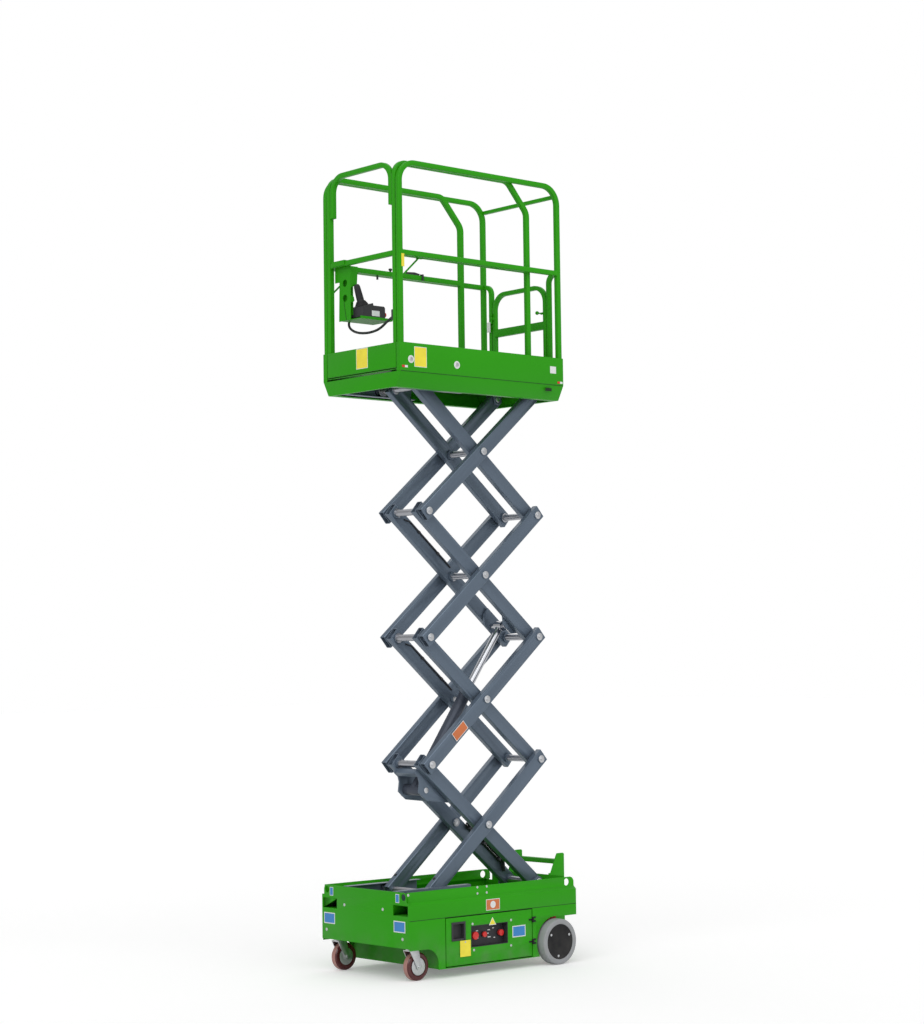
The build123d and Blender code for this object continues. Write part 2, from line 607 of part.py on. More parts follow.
def rear_ladder():
    """Entry ladder on the rear plate: two side plates and three rungs."""
    top, low = LADDER["top"], LADDER["low"]
    half, thick = LADDER["half_width"], LADDER["sheet"]
    seat_x = REAR_PLATE_X - SHEET
    shoulder_z = TRAY_TOP_Z + 8
    outline = polygon(
        (LADDER_REAR_X, low), (LADDER_REAR_X, top), (LADDER_REAR_X + 56, top),
        (LADDER_REAR_X + 106, shoulder_z), (seat_x, shoulder_z),
        (seat_x, TRAY_FLOOR_Z + SHEET), (BODY_REAR_X, TRAY_FLOOR_Z + SHEET),
        (BODY_REAR_X, TRAY_FLOOR_Z), (LADDER_REAR_X + 60, low),
    )
    outline = fillet(outline.vertices().sort_by(Axis.Y)[-2:], 10.0)
    body = both_sides(sheet_y(outline, half - thick, half))
    x0 = LADDER_REAR_X + 8
    x1 = x0 + LADDER["tread"]
    for z in LADDER["rungs"]:
        tread = block(x0, x1, -half + 1, half - 1, z, z + 26)
        body += tread - block(x0 + 3, x1 - 3, -half, half, z - 1, z + 23)
    return body


def battery_block():
    """Battery pack in the right compartment, as one plain block."""
    outer = BODY_HALF_WIDTH - DOOR_RIM - 2 * SHEET
    return block(BLOCK_X[0], BATTERY_FRONT_X, -outer, -COMPARTMENT_Y - BLOCK_GAP,
                 SKIRT_BOTTOM_Z + SHEET, BLOCK_TOP_Z)


def power_unit():
    """Pump, motor and tank in the left compartment, as one plain block."""
    outer = BODY_HALF_WIDTH - PANEL["depth"] - 10
    return block(*BLOCK_X, COMPARTMENT_Y + BLOCK_GAP, outer, SKIRT_BOTTOM_Z + SHEET, BLOCK_TOP_Z)


def drive_unit():
    """Left wheel motor with its gearbox, axle stub and mounting bracket."""
    flange = DRIVE_OUTER_Y - DRIVE_WIDTH - WHEEL_ARCH_GAP - 2
    half = MOTOR["plate_half"]
    body = rod_y(DRIVE_X, DRIVE_R, MOTOR["radius"], MOTOR["inner_y"], flange - 20)
    body += rod_y(DRIVE_X, DRIVE_R, MOTOR["gear_radius"], flange - 20, flange)
    body += rod_y(DRIVE_X, DRIVE_R, DRIVE_AXLE_R, flange, DRIVE_OUTER_Y - 8)
    body += block(DRIVE_X - half, DRIVE_X + half, flange - 34, flange - 20, DRIVE_R, TRAY_FLOOR_Z)
    return body + block(DRIVE_X - half, DRIVE_X + half, flange - 104, flange - 20,
                        TRAY_FLOOR_Z - 10, TRAY_FLOOR_Z)


def drive_tyre():
    """Solid rubber ring, round-shouldered, for the left drive wheel."""
    section = Pos((DRIVE_RIM_R + DRIVE_R) / 2, 0) * Rectangle(DRIVE_R - DRIVE_RIM_R, DRIVE_WIDTH)
    section = chamfer(section.vertices().sort_by(Axis.X)[-2:], TYRE_SHOULDER, TYRE_SHOULDER / 2)
    ring = revolve(Plane.XY * section, axis=Axis.Y)
    return Pos(DRIVE_X, DRIVE_OUTER_Y - DRIVE_WIDTH / 2, DRIVE_R) * ring


def drive_hub():
    """Rim with its hub boss and flat outer disc, left drive wheel."""
    outer = DRIVE_OUTER_Y - 3
    inner = DRIVE_OUTER_Y - DRIVE_WIDTH
    hub = rod_y(DRIVE_X, DRIVE_R, DRIVE_RIM_R, inner, outer)
    hub -= rod_y(DRIVE_X, DRIVE_R, DRIVE_RIM_R - 8, inner - 1, outer - 12)
    hub += rod_y(DRIVE_X, DRIVE_R, 34.0, inner, outer - 6)
    return hub - rod_y(DRIVE_X, DRIVE_R, DRIVE_AXLE_R + PIN_FIT, inner - 1, DRIVE_OUTER_Y - 8 + SIDE_FIT)


# ---------------------------------------------------------------- casters
def caster_fork():
    """Left caster: swivel race, bent crown, two cheeks and the axle bolt."""
    axle_x = CASTER_X - CASTER_TRAIL
    half = CASTER_WIDTH / 2 + FORK_GAP
    out = half + FORK_SHEET
    crown_x0, crown_x1 = CASTER_X - 34, CASTER_X + 26
    web = polygon(
        (crown_x0, FORK_CROWN_Z), (crown_x1, FORK_CROWN_Z), (axle_x + 15, CASTER_R - 6),
        (axle_x - 15, CASTER_R - 6),
    )
    cheek = web + Pos(axle_x, CASTER_R - 2) * Circle(17)
    cheek -= Pos(axle_x, CASTER_R) * Circle(CASTER_AXLE_R - 1)
    fork = sheet_y(cheek, half, out) + sheet_y(cheek, -out, -half)
    fork += block(crown_x0, crown_x1, -out, out, FORK_CROWN_Z, FORK_CROWN_Z + FORK_SHEET)
    fork += rod_z(CASTER_X, 0, 27.0, FORK_CROWN_Z + FORK_SHEET, FORK_RACE_Z)
    fork += rod_z(CASTER_X, 0, 8.0, FORK_CROWN_Z, CASTER_SHELF_Z - 3)
    fork += rod_y(axle_x, CASTER_R, CASTER_AXLE_R, -out - 5, out + 5)
    return Pos(0, CASTER_Y, 0) * fork


def caster_plate():
    """Bolt-on top plate and upper race that stay with the chassis."""
    plate = block(CASTER_X - 50, CASTER_X + 50, -40, 40, CASTER_SHELF_Z - 6, CASTER_SHELF_Z)
    plate += rod_z(CASTER_X, 0, 30.0, FORK_RACE_Z + SIDE_FIT, CASTER_SHELF_Z - 5)
    plate -= rod_z(CASTER_X, 0, 8.0 + PIN_FIT, FORK_CROWN_Z, CASTER_SHELF_Z - 3 + SIDE_FIT)
    return Pos(0, CASTER_Y, 0) * plate


def caster_wheel():
    """Left caster wheel: tread with dished sides round a hub."""
    half = CASTER_WIDTH / 2
    section = Pos((CASTER_HUB_R + CASTER_R) / 2, 0) * Rectangle(CASTER_R - CASTER_HUB_R, CASTER_WIDTH)
    section = chamfer(section.vertices().sort_by(Axis.X)[-2:], CASTER_SHOULDER, CASTER_SHOULDER)
    for side in (-1, 1):
        section -= Pos(CASTER_R * 0.54, side * half) * Rectangle(CASTER_R * 0.3, 12.0)
    ring = revolve(Plane.XY * section, axis=Axis.Y)
    wheel = ring + Rot(90, 0, 0) * Cylinder(CASTER_HUB_R + 0.5, CASTER_WIDTH + 4)
    wheel -= Rot(90, 0, 0) * Cylinder(CASTER_AXLE_R + PIN_FIT, CASTER_WIDTH + 10)
    return Pos(CASTER_X - CASTER_TRAIL, CASTER_Y, CASTER_R) * wheel


# ------------------------------------------------------------------ doors
def hinge_leaves(on_door):
    """Knuckles and leaves of both door hinges on the left side."""
    x = DOOR["x0"] - DOOR_GAP / 2
    y = BODY_HALF_WIDTH + DOOR_HINGE_OUT
    third = HINGE_LENGTH / 3
    side = 1 if on_door else -1
    pieces = []
    for z in HINGE_Z:
        start = z - HINGE_LENGTH / 2
        rows = (1,) if on_door else (0, 2)
        for row in rows:
            z0 = start + row * third + SIDE_FIT
            z1 = start + (row + 1) * third - SIDE_FIT
            x_in, x_out = sorted((x, x + side * 26))
            knuckle = rod_z(x, y, HINGE_R, z0, z1)
            knuckle += block(x_in, x_out, BODY_HALF_WIDTH, BODY_HALF_WIDTH + 3, z0, z1)
            if on_door:
                knuckle -= rod_z(x, y, HINGE_PIN_R + PIN_FIT, z0 - 1, z1 + 1)
            pieces.append(knuckle)
        if not on_door:
            pieces.append(rod_z(x, y, HINGE_PIN_R, start + SIDE_FIT, start + HINGE_LENGTH - SIDE_FIT))
    body = pieces[0]
    for piece in pieces[1:]:
        body += piece
    return body


def door(recessed):
    """Left door sheet with a folded rim; the recessed one takes the controls."""
    x0, x1, z0, z1 = DOOR["x0"], DOOR["x1"], DOOR["z0"], DOOR["z1"]
    out = BODY_HALF_WIDTH
    rim = block(x0, x1, out - DOOR_RIM, out - SHEET / 2, z0, z1)
    rim -= block(x0 + 3, x1 - 3, out - DOOR_RIM - 1, out, z0 + 3, z1 - 3)
    body = block(x0, x1, out - SHEET, out, z0, z1) + rim
    if recessed:
        body -= block(PANEL["x0"], PANEL["x1"], out - 20, out + 1, PANEL["z0"], PANEL["z1"])
        half = INLET["size"] / 2 - INLET["lip"]
        body -= block(INLET["x"] - half, INLET["x"] + half, out - 20, out + 1,
                      INLET["z"] - half, INLET["z"] + half)
    return body + hinge_leaves(True)


def ground_panel():
    """Recessed tray in the left door with its buttons and key switch."""
    out = BODY_HALF_WIDTH
    x0, x1, z0, z1 = PANEL["x0"], PANEL["x1"], PANEL["z0"], PANEL["z1"]
    back = out - PANEL["depth"]
    wall = 3.0
    tray = block(x0, x1, back, out, z0, z1)
    tray -= block(x0 + wall, x1 - wall, back + wall, out + 1, z0 + wall, z1 - wall)
    middle_z = (z0 + z1) / 2
    controls = [  # x, stem radius, stem length, head radius, head length
        (x1 - 48, 11.0, 14.0, 21.0, 13.0),
        (x1 - 122, 9.0, 8.0, 15.0, 11.0),
        (x0 + 30, 10.0, 8.0, 17.0, 16.0),
    ]
    face = back + wall
    for x, stem_r, stem, head_r, head in controls:
        tray += rod_y(x, middle_z, stem_r, face - 1, face + stem)
        tray += rod_y(x, middle_z, head_r, face + stem - 1, face + stem + head)
    return tray


def charger_inlet():
    """Square flanged inlet with a shallow well."""
    out = BODY_HALF_WIDTH
    half = INLET["size"] / 2
    well = half - INLET["lip"]
    x, z = INLET["x"], INLET["z"]
    body = block(x - half, x + half, out, out + 3, z - half, z + half)
    body += block(x - well, x + well, out - INLET["depth"], out + 1, z - well, z + well)
    hollow = well - 5
    return body - block(x - hollow, x + hollow, out - INLET["depth"] + 4, out + 4, z - hollow, z + hollow)


# --------------------------------------------------------------- platform
def pan_outline(inset):
    top, low = DECK_HALF_WIDTH - inset, DECK_HALF_WIDTH - PAN_SLOPE - inset
    return (-top, PAN_TOP_Z), (-low, PAN_BOTTOM_Z), (low, PAN_BOTTOM_Z), (top, PAN_TOP_Z)


def platform_frame():
    """Sheet-metal pan under the deck: leaning sides, end plates and lips."""
    x0, x1 = DECK_X
    hole_y = DECK_HALF_WIDTH - PAN_SLOPE - PAN_LIP
    outer = sheet_x(polygon(*pan_outline(0)), x0, x1)
    inner = sheet_x(polygon(*pan_outline(SHEET)), x0 + SHEET, x1 - SHEET)
    inner -= block(x0, x1, -DECK_HALF_WIDTH, DECK_HALF_WIDTH, PAN_BOTTOM_Z, PAN_BOTTOM_Z + SHEET)
    body = outer - inner
    body -= block(x0 + PAN_END_LIP, x1 - PAN_END_LIP, -hole_y, hole_y,
                  PAN_BOTTOM_Z - 1, PAN_BOTTOM_Z + SHEET + 1)
    for x in DECK_RIBS_X:
        rib = sheet_x(polygon(*pan_outline(SHEET / 2)), x - 2, x + 2)
        body += rib - block(x - 3, x + 3, -hole_y, hole_y, PAN_BOTTOM_Z - 1, PAN_TOP_Z + 1)
    return body


def main_deck():
    """Deck plate with side flanges that rest on the pan."""
    x0, x1 = DECK_X
    half = DECK_HALF_WIDTH - TOE_SHEET
    body = block(x0 + TOE_SHEET, x1 - TOE_SHEET, -half, half, DECK_Z - DECK_SHEET, DECK_Z)
    for y0, y1 in ((-half, 5 - half), (half - 5, half)):
        body += block(x0 + TOE_SHEET, x1 - TOE_SHEET, y0, y1, PAN_TOP_Z, DECK_Z - DECK_SHEET / 2)
    return body


def toe_boards():
    """Side kick plates with end returns, and the sill under the gate."""
    x0, x1 = DECK_X
    half = DECK_HALF_WIDTH
    side = block(x0, x1, half - TOE_SHEET, half, PAN_TOP_Z, TOE_TOP_Z)
    side += block(x1 - TOE_SHEET, x1, half - TOE_SHEET - RAIL, half, PAN_TOP_Z, TOE_TOP_Z)
    side += block(x0, x0 + TOE_SHEET, GATE_POST_Y - GATE_TUBE / 2, half, PAN_TOP_Z, TOE_TOP_Z)
    return both_sides(side) + block(x0, x0 + TOE_SHEET, -half, half, PAN_TOP_Z, DECK_Z)


def guard_rail():
    """Left fixed rail: a bent hoop with a mid rail."""
    hoop = bent_tube(
        [(REAR_POST_X, DECK_Z), (REAR_POST_X, RAIL_Z), (FRONT_POST_X, RAIL_Z), (FRONT_POST_X, DECK_Z)],
        RAIL_BEND_R, plane_y=RAIL_Y,
    )
    half = RAIL / 2
    mid = block(REAR_POST_X, FRONT_POST_X, RAIL_Y - half, RAIL_Y + half, MID_RAIL_Z - half, MID_RAIL_Z + half)
    return hoop + mid


def rear_frame():
    """Gate posts that curve out to the corner posts, and the top cross bar."""
    inner = RAIL_Y - RAIL / 2
    post = bent_tube(
        [(GATE_POST_Y, DECK_Z), (GATE_POST_Y, MID_RAIL_Z), (inner, MID_RAIL_Z)],
        GATE_POST_BEND_R, plane_x=REAR_POST_X, width=GATE_TUBE, depth=GATE_TUBE,
    )
    half = REAR_BAR / 2
    bar = block(REAR_POST_X - half, REAR_POST_X + half, -inner, inner, REAR_BAR_Z - half, REAR_BAR_Z + half)
    return both_sides(post) + bar + gate_hinges(False)


def gate_hinges(on_gate):
    """Knuckles and leaves between the gate and the right gate post."""
    x = REAR_POST_X + GATE_TUBE / 2
    axis_x = x + GATE_HINGE_OUT
    axis_y = GATE_TUBE / 2 + GATE_GAP / 2 - GATE_POST_Y
    third = GATE_HINGE_LENGTH / 3
    reach = GATE_TUBE if on_gate else -GATE_TUBE
    y0, y1 = sorted((axis_y, axis_y + reach))
    body = None
    for z in GATE_HINGE_Z:
        start = z - GATE_HINGE_LENGTH / 2
        for row in (1,) if on_gate else (0, 2):
            z0 = start + row * third + SIDE_FIT
            z1 = start + (row + 1) * third - SIDE_FIT
            piece = rod_z(axis_x, axis_y, HINGE_R, z0, z1) + block(x, x + 3, y0, y1, z0, z1)
            if on_gate:
                piece -= rod_z(axis_x, axis_y, HINGE_PIN_R + PIN_FIT, z0 - 1, z1 + 1)
            body = piece if body is None else body + piece
        if not on_gate:
            body += rod_z(axis_x, axis_y, HINGE_PIN_R, start + 1, start + GATE_HINGE_LENGTH - 1)
    return body


def gate():
    """Half-height gate: bent hoop, mid bar, kick plate, hinge pins and knob."""
    y0, y1 = -GATE_UPRIGHT_Y, GATE_UPRIGHT_Y
    top = GATE_TOP_Z - GATE_TUBE / 2
    x = REAR_POST_X
    half = GATE_TUBE / 2
    body = bent_tube([(y0, GATE_BOTTOM_Z), (y0, top), (y1, top), (y1, GATE_BOTTOM_Z)],
                     GATE_BEND_R, plane_x=x, width=GATE_TUBE, depth=GATE_TUBE)
    bar = GATE_BAR_DEPTH / 2
    body += block(x - half, x + half, y0, y1, GATE_BAR_Z - bar, GATE_BAR_Z + bar)
    body += block(x - half, x - half + 3, y0, y1, GATE_BOTTOM_Z, TOE_TOP_Z)
    knob_y, knob_z = y1 - 34, GATE_BAR_Z + 72
    body += block(x - 4, x + 4, knob_y - 6, y1, knob_z - 6, knob_z + 6)
    body += rod_x(knob_y, knob_z, 4.0, x, x + half + 20)
    return body + Pos(x + half + 24, knob_y, knob_z) * Sphere(11) + gate_hinges(True)


# ------------------------------------------------------------ sliding deck
def extension_deck():
    """Plate that slides over the main deck on two runner strips."""
    x0, x1 = EXT_DECK_X
    half = EXT_RAIL_Y + RAIL / 2
    z0 = DECK_Z + SLIDE_GAP
    runner = block(x0 + 16, x0 + 16 + RUNNER["length"], RUNNER["y"], RUNNER["y"] + RUNNER["width"],
                   DECK_Z + SIDE_FIT, z0 + 1)
    return block(x0, x1, -half, half, z0, z0 + DECK_SHEET) + both_sides(runner)


def front_toe_board():
    half = EXT_RAIL_Y + RAIL / 2
    x1 = DECK_X[1]
    return block(x1 - TOE_SHEET, x1, -half, half, FRONT_TOE_Z, TOE_TOP_Z)


def extension_rail():
    """Left sliding rail: bent front post, top, slanted rear leg, mid rail."""
    foot = DECK_Z + SLIDE_GAP + DECK_SHEET
    bend_x, leg_x = EXT_BEND_X
    path = [(FRONT_POST_X, foot), (FRONT_POST_X, RAIL_Z), (bend_x, RAIL_Z), (leg_x, EXT_BEND_Z), (leg_x, foot)]
    hoop = bent_tube(path, EXT_BEND_R, plane_y=EXT_RAIL_Y)
    half = RAIL / 2
    mid = block(leg_x, FRONT_POST_X, EXT_RAIL_Y - half, EXT_RAIL_Y + half, MID_RAIL_Z - half, MID_RAIL_Z + half)
    return hoop + mid


def front_rail():
    """Plug-in front hoop and front mid rail between the sliding posts."""
    inner = EXT_RAIL_Y - RAIL / 2
    leg_y = inner - RAIL / 2
    hoop = bent_tube(
        [(-leg_y, FRONT_HOOP_LEG_Z), (-leg_y, RAIL_Z), (leg_y, RAIL_Z), (leg_y, FRONT_HOOP_LEG_Z)],
        FRONT_HOOP_BEND_R, plane_x=FRONT_POST_X,
    )
    half = RAIL / 2
    x0, x1 = FRONT_POST_X - half, FRONT_POST_X + half
    return hoop + block(x0, x1, -inner, inner, MID_RAIL_Z - half, MID_RAIL_Z + half)


def control_bracket():
    """Hook, holed back plate and tray that hang the control box."""
    back_x = FRONT_POST_X - RAIL / 2
    y0, y1 = CONTROL_Y
    top = MID_RAIL_Z + RAIL / 2
    width = 96.0
    low = CONTROL_Z - 8
    plate = Pos(y0 + width / 2, (low + top + 4) / 2) * Rectangle(width, top + 4 - low)
    for z in (MID_RAIL_Z - 70, MID_RAIL_Z - 215):
        plate -= Pos(y0 + width / 2, z) * Circle(20)
    body = sheet_x(plate, back_x - 5, back_x)
    body += block(back_x - 5, back_x + RAIL + 5, y0, y0 + width, top, top + 4)
    body += block(back_x + RAIL, back_x + RAIL + 5, y0, y0 + width, MID_RAIL_Z - 10, top + 2)
    x0 = CONTROL_X[0] - 8
    return body + block(x0, back_x - 3, y0 - 6, y1 + 6, CONTROL_Z - 8, CONTROL_Z - 4)


def control_box():
    """Operator's box with a sloping top and a stop button on its left end."""
    x0, x1 = CONTROL_X
    y0, y1 = CONTROL_Y
    z0, z1 = CONTROL_Z - 4, CONTROL_Z + CONTROL_HEIGHT
    profile = polygon((x0, z0), (x1, z0), (x1, z1), (x0 + 60, z1), (x0, z1 - 26))
    middle_x, middle_z = (x0 + x1) / 2, (z0 + z1) / 2
    body = sheet_y(profile, y0, y1)
    body += rod_y(middle_x, middle_z, 12.0, y1 - 1, y1 + 8)
    return body + rod_y(middle_x, middle_z, 19.0, y1 + 7, y1 + 20)


def joystick():
    """Boot and grip that stand on the control box."""
    x = CONTROL_X[0] + 80
    y = CONTROL_Y[0] + 70
    z = CONTROL_Z + CONTROL_HEIGHT
    boot = Pos(0, 0, 12) * Cone(30, 15, 32)
    boot += Pos(0, 0, 60) * Cylinder(13, 74) + Pos(0, 0, 103) * Cone(14, 19, 22)
    boot += Pos(0, 0, 121) * Cylinder(19, 14)
    tilted = Rot(0, JOYSTICK_LEAN, 0) * boot
    return Pos(x, y, z) * (tilted - block(-60, 60, -60, 60, -30, 0))


def control_cable():
    """Cable from the control box's end, down in a bow to the sliding post."""
    route = [Vector(*point) for point in CABLE_ROUTE]
    route[-1] = Vector(route[-2].X, route[-1].Y, route[-2].Z)
    runs = [after - before for before, after in zip(route, route[1:])]
    free = [run.length * 0.48 for run in runs]
    free[0], free[-1] = runs[0].length * 0.92, runs[-1].length * 0.92
    radii = []
    for number in range(len(runs) - 1):
        turn = radians(runs[number].get_angle(runs[number + 1]))
        radii.append(min(free[number], free[number + 1]) / tan(turn / 2))
    path = FilletPolyline(*route, radius=radii)
    return sweep(Plane(path @ 0, z_dir=path % 0) * Circle(CABLE_R), path=path)


def cable_socket():
    """Socket on the left sliding post's inner face that takes the cable."""
    post_face = EXT_RAIL_Y - RAIL / 2
    return block(SOCKET["x0"], SOCKET["x1"], SOCKET["y"], post_face, SOCKET["z0"], SOCKET["z1"])


def latch_lever():
    """Spring latch on the right sliding mid rail that locks the deck."""
    y = -EXT_RAIL_Y + RAIL / 2
    z = MID_RAIL_Z
    body = block(LATCH_X - 45, LATCH_X + 45, y, y + 8, z - 12, z + 12)
    body += rod_z(LATCH_X + 25, y + 14, 7.0, z - 40, z + 16)
    body += block(LATCH_X + 18, LATCH_X + 32, y + 7, y + 14, z - 12, z + 12)
    return body + block(LATCH_X - 60, LATCH_X + 25, y + 10, y + 18, z + 10, z + 18)


def lower_track():
    return both_sides(slide_track(BASE_PIN_Z, TRAY_FLOOR_Z + SHEET))


def upper_track():
    return both_sides(slide_track(TOP_PIN_Z, DECK_Z - DECK_SHEET))


# --------------------------------------------------------------- assembly
def collect():
    """Every node by name, each in its place."""
    barrel, rod = cylinder_parts()
    nodes = {
        "chassis_tray": chassis_tray(),
        "caster_plates": both_sides(caster_plate()),
        "lower_hull": lower_hull(),
        "side_skins": both_sides(side_skin() + hinge_leaves(False)),
        "base_slide_tracks": lower_track(),
        "base_pivot_lugs": base_lugs(),
        "entry_ladder": rear_ladder(),
        "battery_block": battery_block(),
        "power_unit": power_unit(),
        "drive_units": both_sides(drive_unit()),
        "door_left": door(True),
        "door_right": flip(door(False)),
        "ground_control_panel": ground_panel(),
        "charger_inlet": charger_inlet(),
        "cylinder_barrel": barrel,
        "cylinder_rod": rod,
        "base_rollers": roller_shaft(BASE_PIN_Z),
        "deck_rollers": roller_shaft(TOP_PIN_Z),
        "platform_frame": platform_frame(),
        "platform_slide_tracks": upper_track(),
        "platform_pivot_lugs": deck_lugs(),
        "platform_pivot_pins": deck_pins(),
        "main_deck": main_deck(),
        "toe_boards": toe_boards(),
        "guard_rail_left": guard_rail(),
        "guard_rail_right": flip(guard_rail()),
        "rear_gate_posts": rear_frame(),
        "rear_gate": gate(),
        "extension_deck": extension_deck(),
        "extension_toe_board": front_toe_board(),
        "extension_rail_left": extension_rail(),
        "extension_rail_right": flip(extension_rail()),
        "front_rail": front_rail(),
        "control_bracket": control_bracket(),
        "control_box": control_box(),
        "joystick": joystick(),
        "control_cable": control_cable(),
        "cable_socket": cable_socket(),
        "deck_latch": latch_lever(),
    }
    for stage in range(STAGES):
        nodes[f"inner_arms_{stage + 1}"] = inner_arms(stage)
        nodes[f"inner_pins_{stage + 1}"] = inner_pins(stage)
        nodes[f"outer_arms_{stage + 1}"] = outer_arms(stage)
    rolling = {
        "drive_tyre": drive_tyre(), "drive_hub": drive_hub(),
        "caster_fork": caster_fork(), "caster_wheel": caster_wheel(),
    }
    for name, shape in rolling.items():
        nodes[f"{name}_left"] = shape
        nodes[f"{name}_right"] = flip(shape)
    return nodes


if __name__ == "__main__":
    os.makedirs("parts", exist_ok=True)
    for name, shape in collect().items():
        export_step(shape, f"parts/{name}.step")
        print(name, len(shape.solids()))
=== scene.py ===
# %% [markdown]
# # Dressing a scissor lift
#
# The lift comes as plain solids that already have the right sizes and turn on
# the right pins. This lesson gives them paint, rubber, zinc and plastic, and
# adds the small parts that make such a machine believable: screws, hoses,
# knobs, blank plates and a control cable. Everything is in metres. +X is the
# caster end, +Y the machine's left side, +Z up.

# %% Load the solids
import json
import math

import bmesh
import bpy
from mathutils import Matrix, Vector


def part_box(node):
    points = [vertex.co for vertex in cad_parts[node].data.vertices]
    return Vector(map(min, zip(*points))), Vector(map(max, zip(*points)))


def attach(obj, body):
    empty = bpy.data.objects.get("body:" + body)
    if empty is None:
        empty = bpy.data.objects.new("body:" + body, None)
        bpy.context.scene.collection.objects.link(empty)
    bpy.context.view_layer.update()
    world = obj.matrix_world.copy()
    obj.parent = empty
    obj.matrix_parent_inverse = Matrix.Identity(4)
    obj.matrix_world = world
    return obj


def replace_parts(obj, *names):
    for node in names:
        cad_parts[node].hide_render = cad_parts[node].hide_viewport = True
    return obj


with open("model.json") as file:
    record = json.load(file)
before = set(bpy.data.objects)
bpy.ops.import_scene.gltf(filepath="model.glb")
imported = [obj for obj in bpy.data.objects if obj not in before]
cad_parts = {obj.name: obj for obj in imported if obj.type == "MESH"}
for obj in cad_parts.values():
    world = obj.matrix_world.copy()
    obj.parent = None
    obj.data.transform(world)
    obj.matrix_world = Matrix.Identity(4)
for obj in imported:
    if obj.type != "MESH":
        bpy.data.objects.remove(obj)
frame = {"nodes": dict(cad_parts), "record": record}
nodes = frame["nodes"]
scene = bpy.context.scene
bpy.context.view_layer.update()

# %% [markdown]
# ## The scissor's pins
#
# Four stages of crossed arms carry the platform. Each stage lifts the next by
# the same rise, so three columns of pins and one rise place every small part
# that sits on an arm.

# %% Name the pins
ARM_LEAN = math.radians(40.4)
STAGES = range(1, 5)
REAR_PIN_X, MIDDLE_PIN_X, FRONT_PIN_X = -0.482, -0.0757, 0.3306
BASE_PIN_Z, STAGE_RISE = 0.432, 0.6916
OUTER_ARM_Y = 0.164


def pin_places(stage):
    """Rear, middle and front pin of a stage's inner arms, as (x, z) pairs."""
    low = BASE_PIN_Z + STAGE_RISE * (stage - 1)
    return ((REAR_PIN_X, low), (MIDDLE_PIN_X, low + STAGE_RISE / 2),
            (FRONT_PIN_X, low + STAGE_RISE))


print("stage 1 pins:", pin_places(1))

# %% [markdown]
# ## The camera
#
# A long lens from eye height keeps the tall machine's lines nearly
# parallel. The camera looks slightly up and is turned a little about its own
# axis. A rotation matrix is built from its three axes, because that is
# clearer than guessing Euler angles.

# %% Place the camera
CAMERA_PLACE = Vector((8.4122, 9.6246, 1.7001))
HEADING, RISE, ROLL = 0.7227, 0.0640, -0.0130
LENS = 80.05

level_ahead = Vector((-math.sin(HEADING), -math.cos(HEADING), 0.0))
level_right = Vector((-math.cos(HEADING), math.sin(HEADING), 0.0))
up = Vector((0.0, 0.0, 1.0))
ahead = level_ahead * math.cos(RISE) + up * math.sin(RISE)
lifted = up * math.cos(RISE) - level_ahead * math.sin(RISE)
right = level_right * math.cos(ROLL) + lifted * math.sin(ROLL)
overhead = lifted * math.cos(ROLL) - level_right * math.sin(ROLL)

camera_data = bpy.data.cameras.new("camera")
camera_data.sensor_width = 36.0
camera_data.lens = LENS
camera_data.clip_end = 100.0
camera = bpy.data.objects.new("camera", camera_data)
turned_camera = Matrix((right, overhead, -ahead)).transposed().to_4x4()
camera.matrix_world = Matrix.Translation(CAMERA_PLACE) @ turned_camera
scene.collection.objects.link(camera)
scene.camera = camera
print("camera looks along", [round(v, 3) for v in ahead])

# %% [markdown]
# ## Writing node trees as sentences
#
# A shader is a web of nodes, and a web is hard to read. Small classes turn it
# into plain Python. A `Wire` is one output socket that can be added and
# multiplied, and each operator adds a Math node. A `Web` is a tree being
# made: its one method, `node`, adds any other node, sets its options and
# joins its inputs. A `Finish` is a web that makes a material.

# %% Define wires, webs and finishes
class Wire:
    """One output socket that takes part in Python sums."""

    def __init__(self, finish, socket):
        self.finish, self.socket = finish, socket

    def maths(self, operation, *values):
        return self.finish.node("ShaderNodeMath", {"operation": operation}, values)

    def __add__(self, other):
        return self.maths("ADD", self, other)

    def __sub__(self, other):
        return self.maths("SUBTRACT", self, other)

    def __rsub__(self, other):
        return self.maths("SUBTRACT", other, self)

    def __mul__(self, other):
        return self.maths("MULTIPLY", self, other)

    __radd__ = __add__
    __rmul__ = __mul__

    def sine(self):
        return self.maths("SINE", self)


class Web:
    """A node tree whose nodes are added one sentence at a time."""

    def __init__(self, tree):
        self.tree = tree
        tree.nodes.clear()

    def node(self, kind, settings=None, inputs=(), output=0):
        made = self.tree.nodes.new(kind)
        for key, value in (settings or {}).items():
            setattr(made, key, value)
        pairs = inputs.items() if isinstance(inputs, dict) else enumerate(inputs)
        for key, value in pairs:
            if isinstance(value, Wire):
                self.tree.links.new(value.socket, made.inputs[key])
            else:
                made.inputs[key].default_value = value
        return Wire(self, made.outputs[output]) if made.outputs else None


def opaque(colour):
    """A colour with full alpha, or its wire as it is."""
    return colour if isinstance(colour, Wire) else (*colour, 1.0)


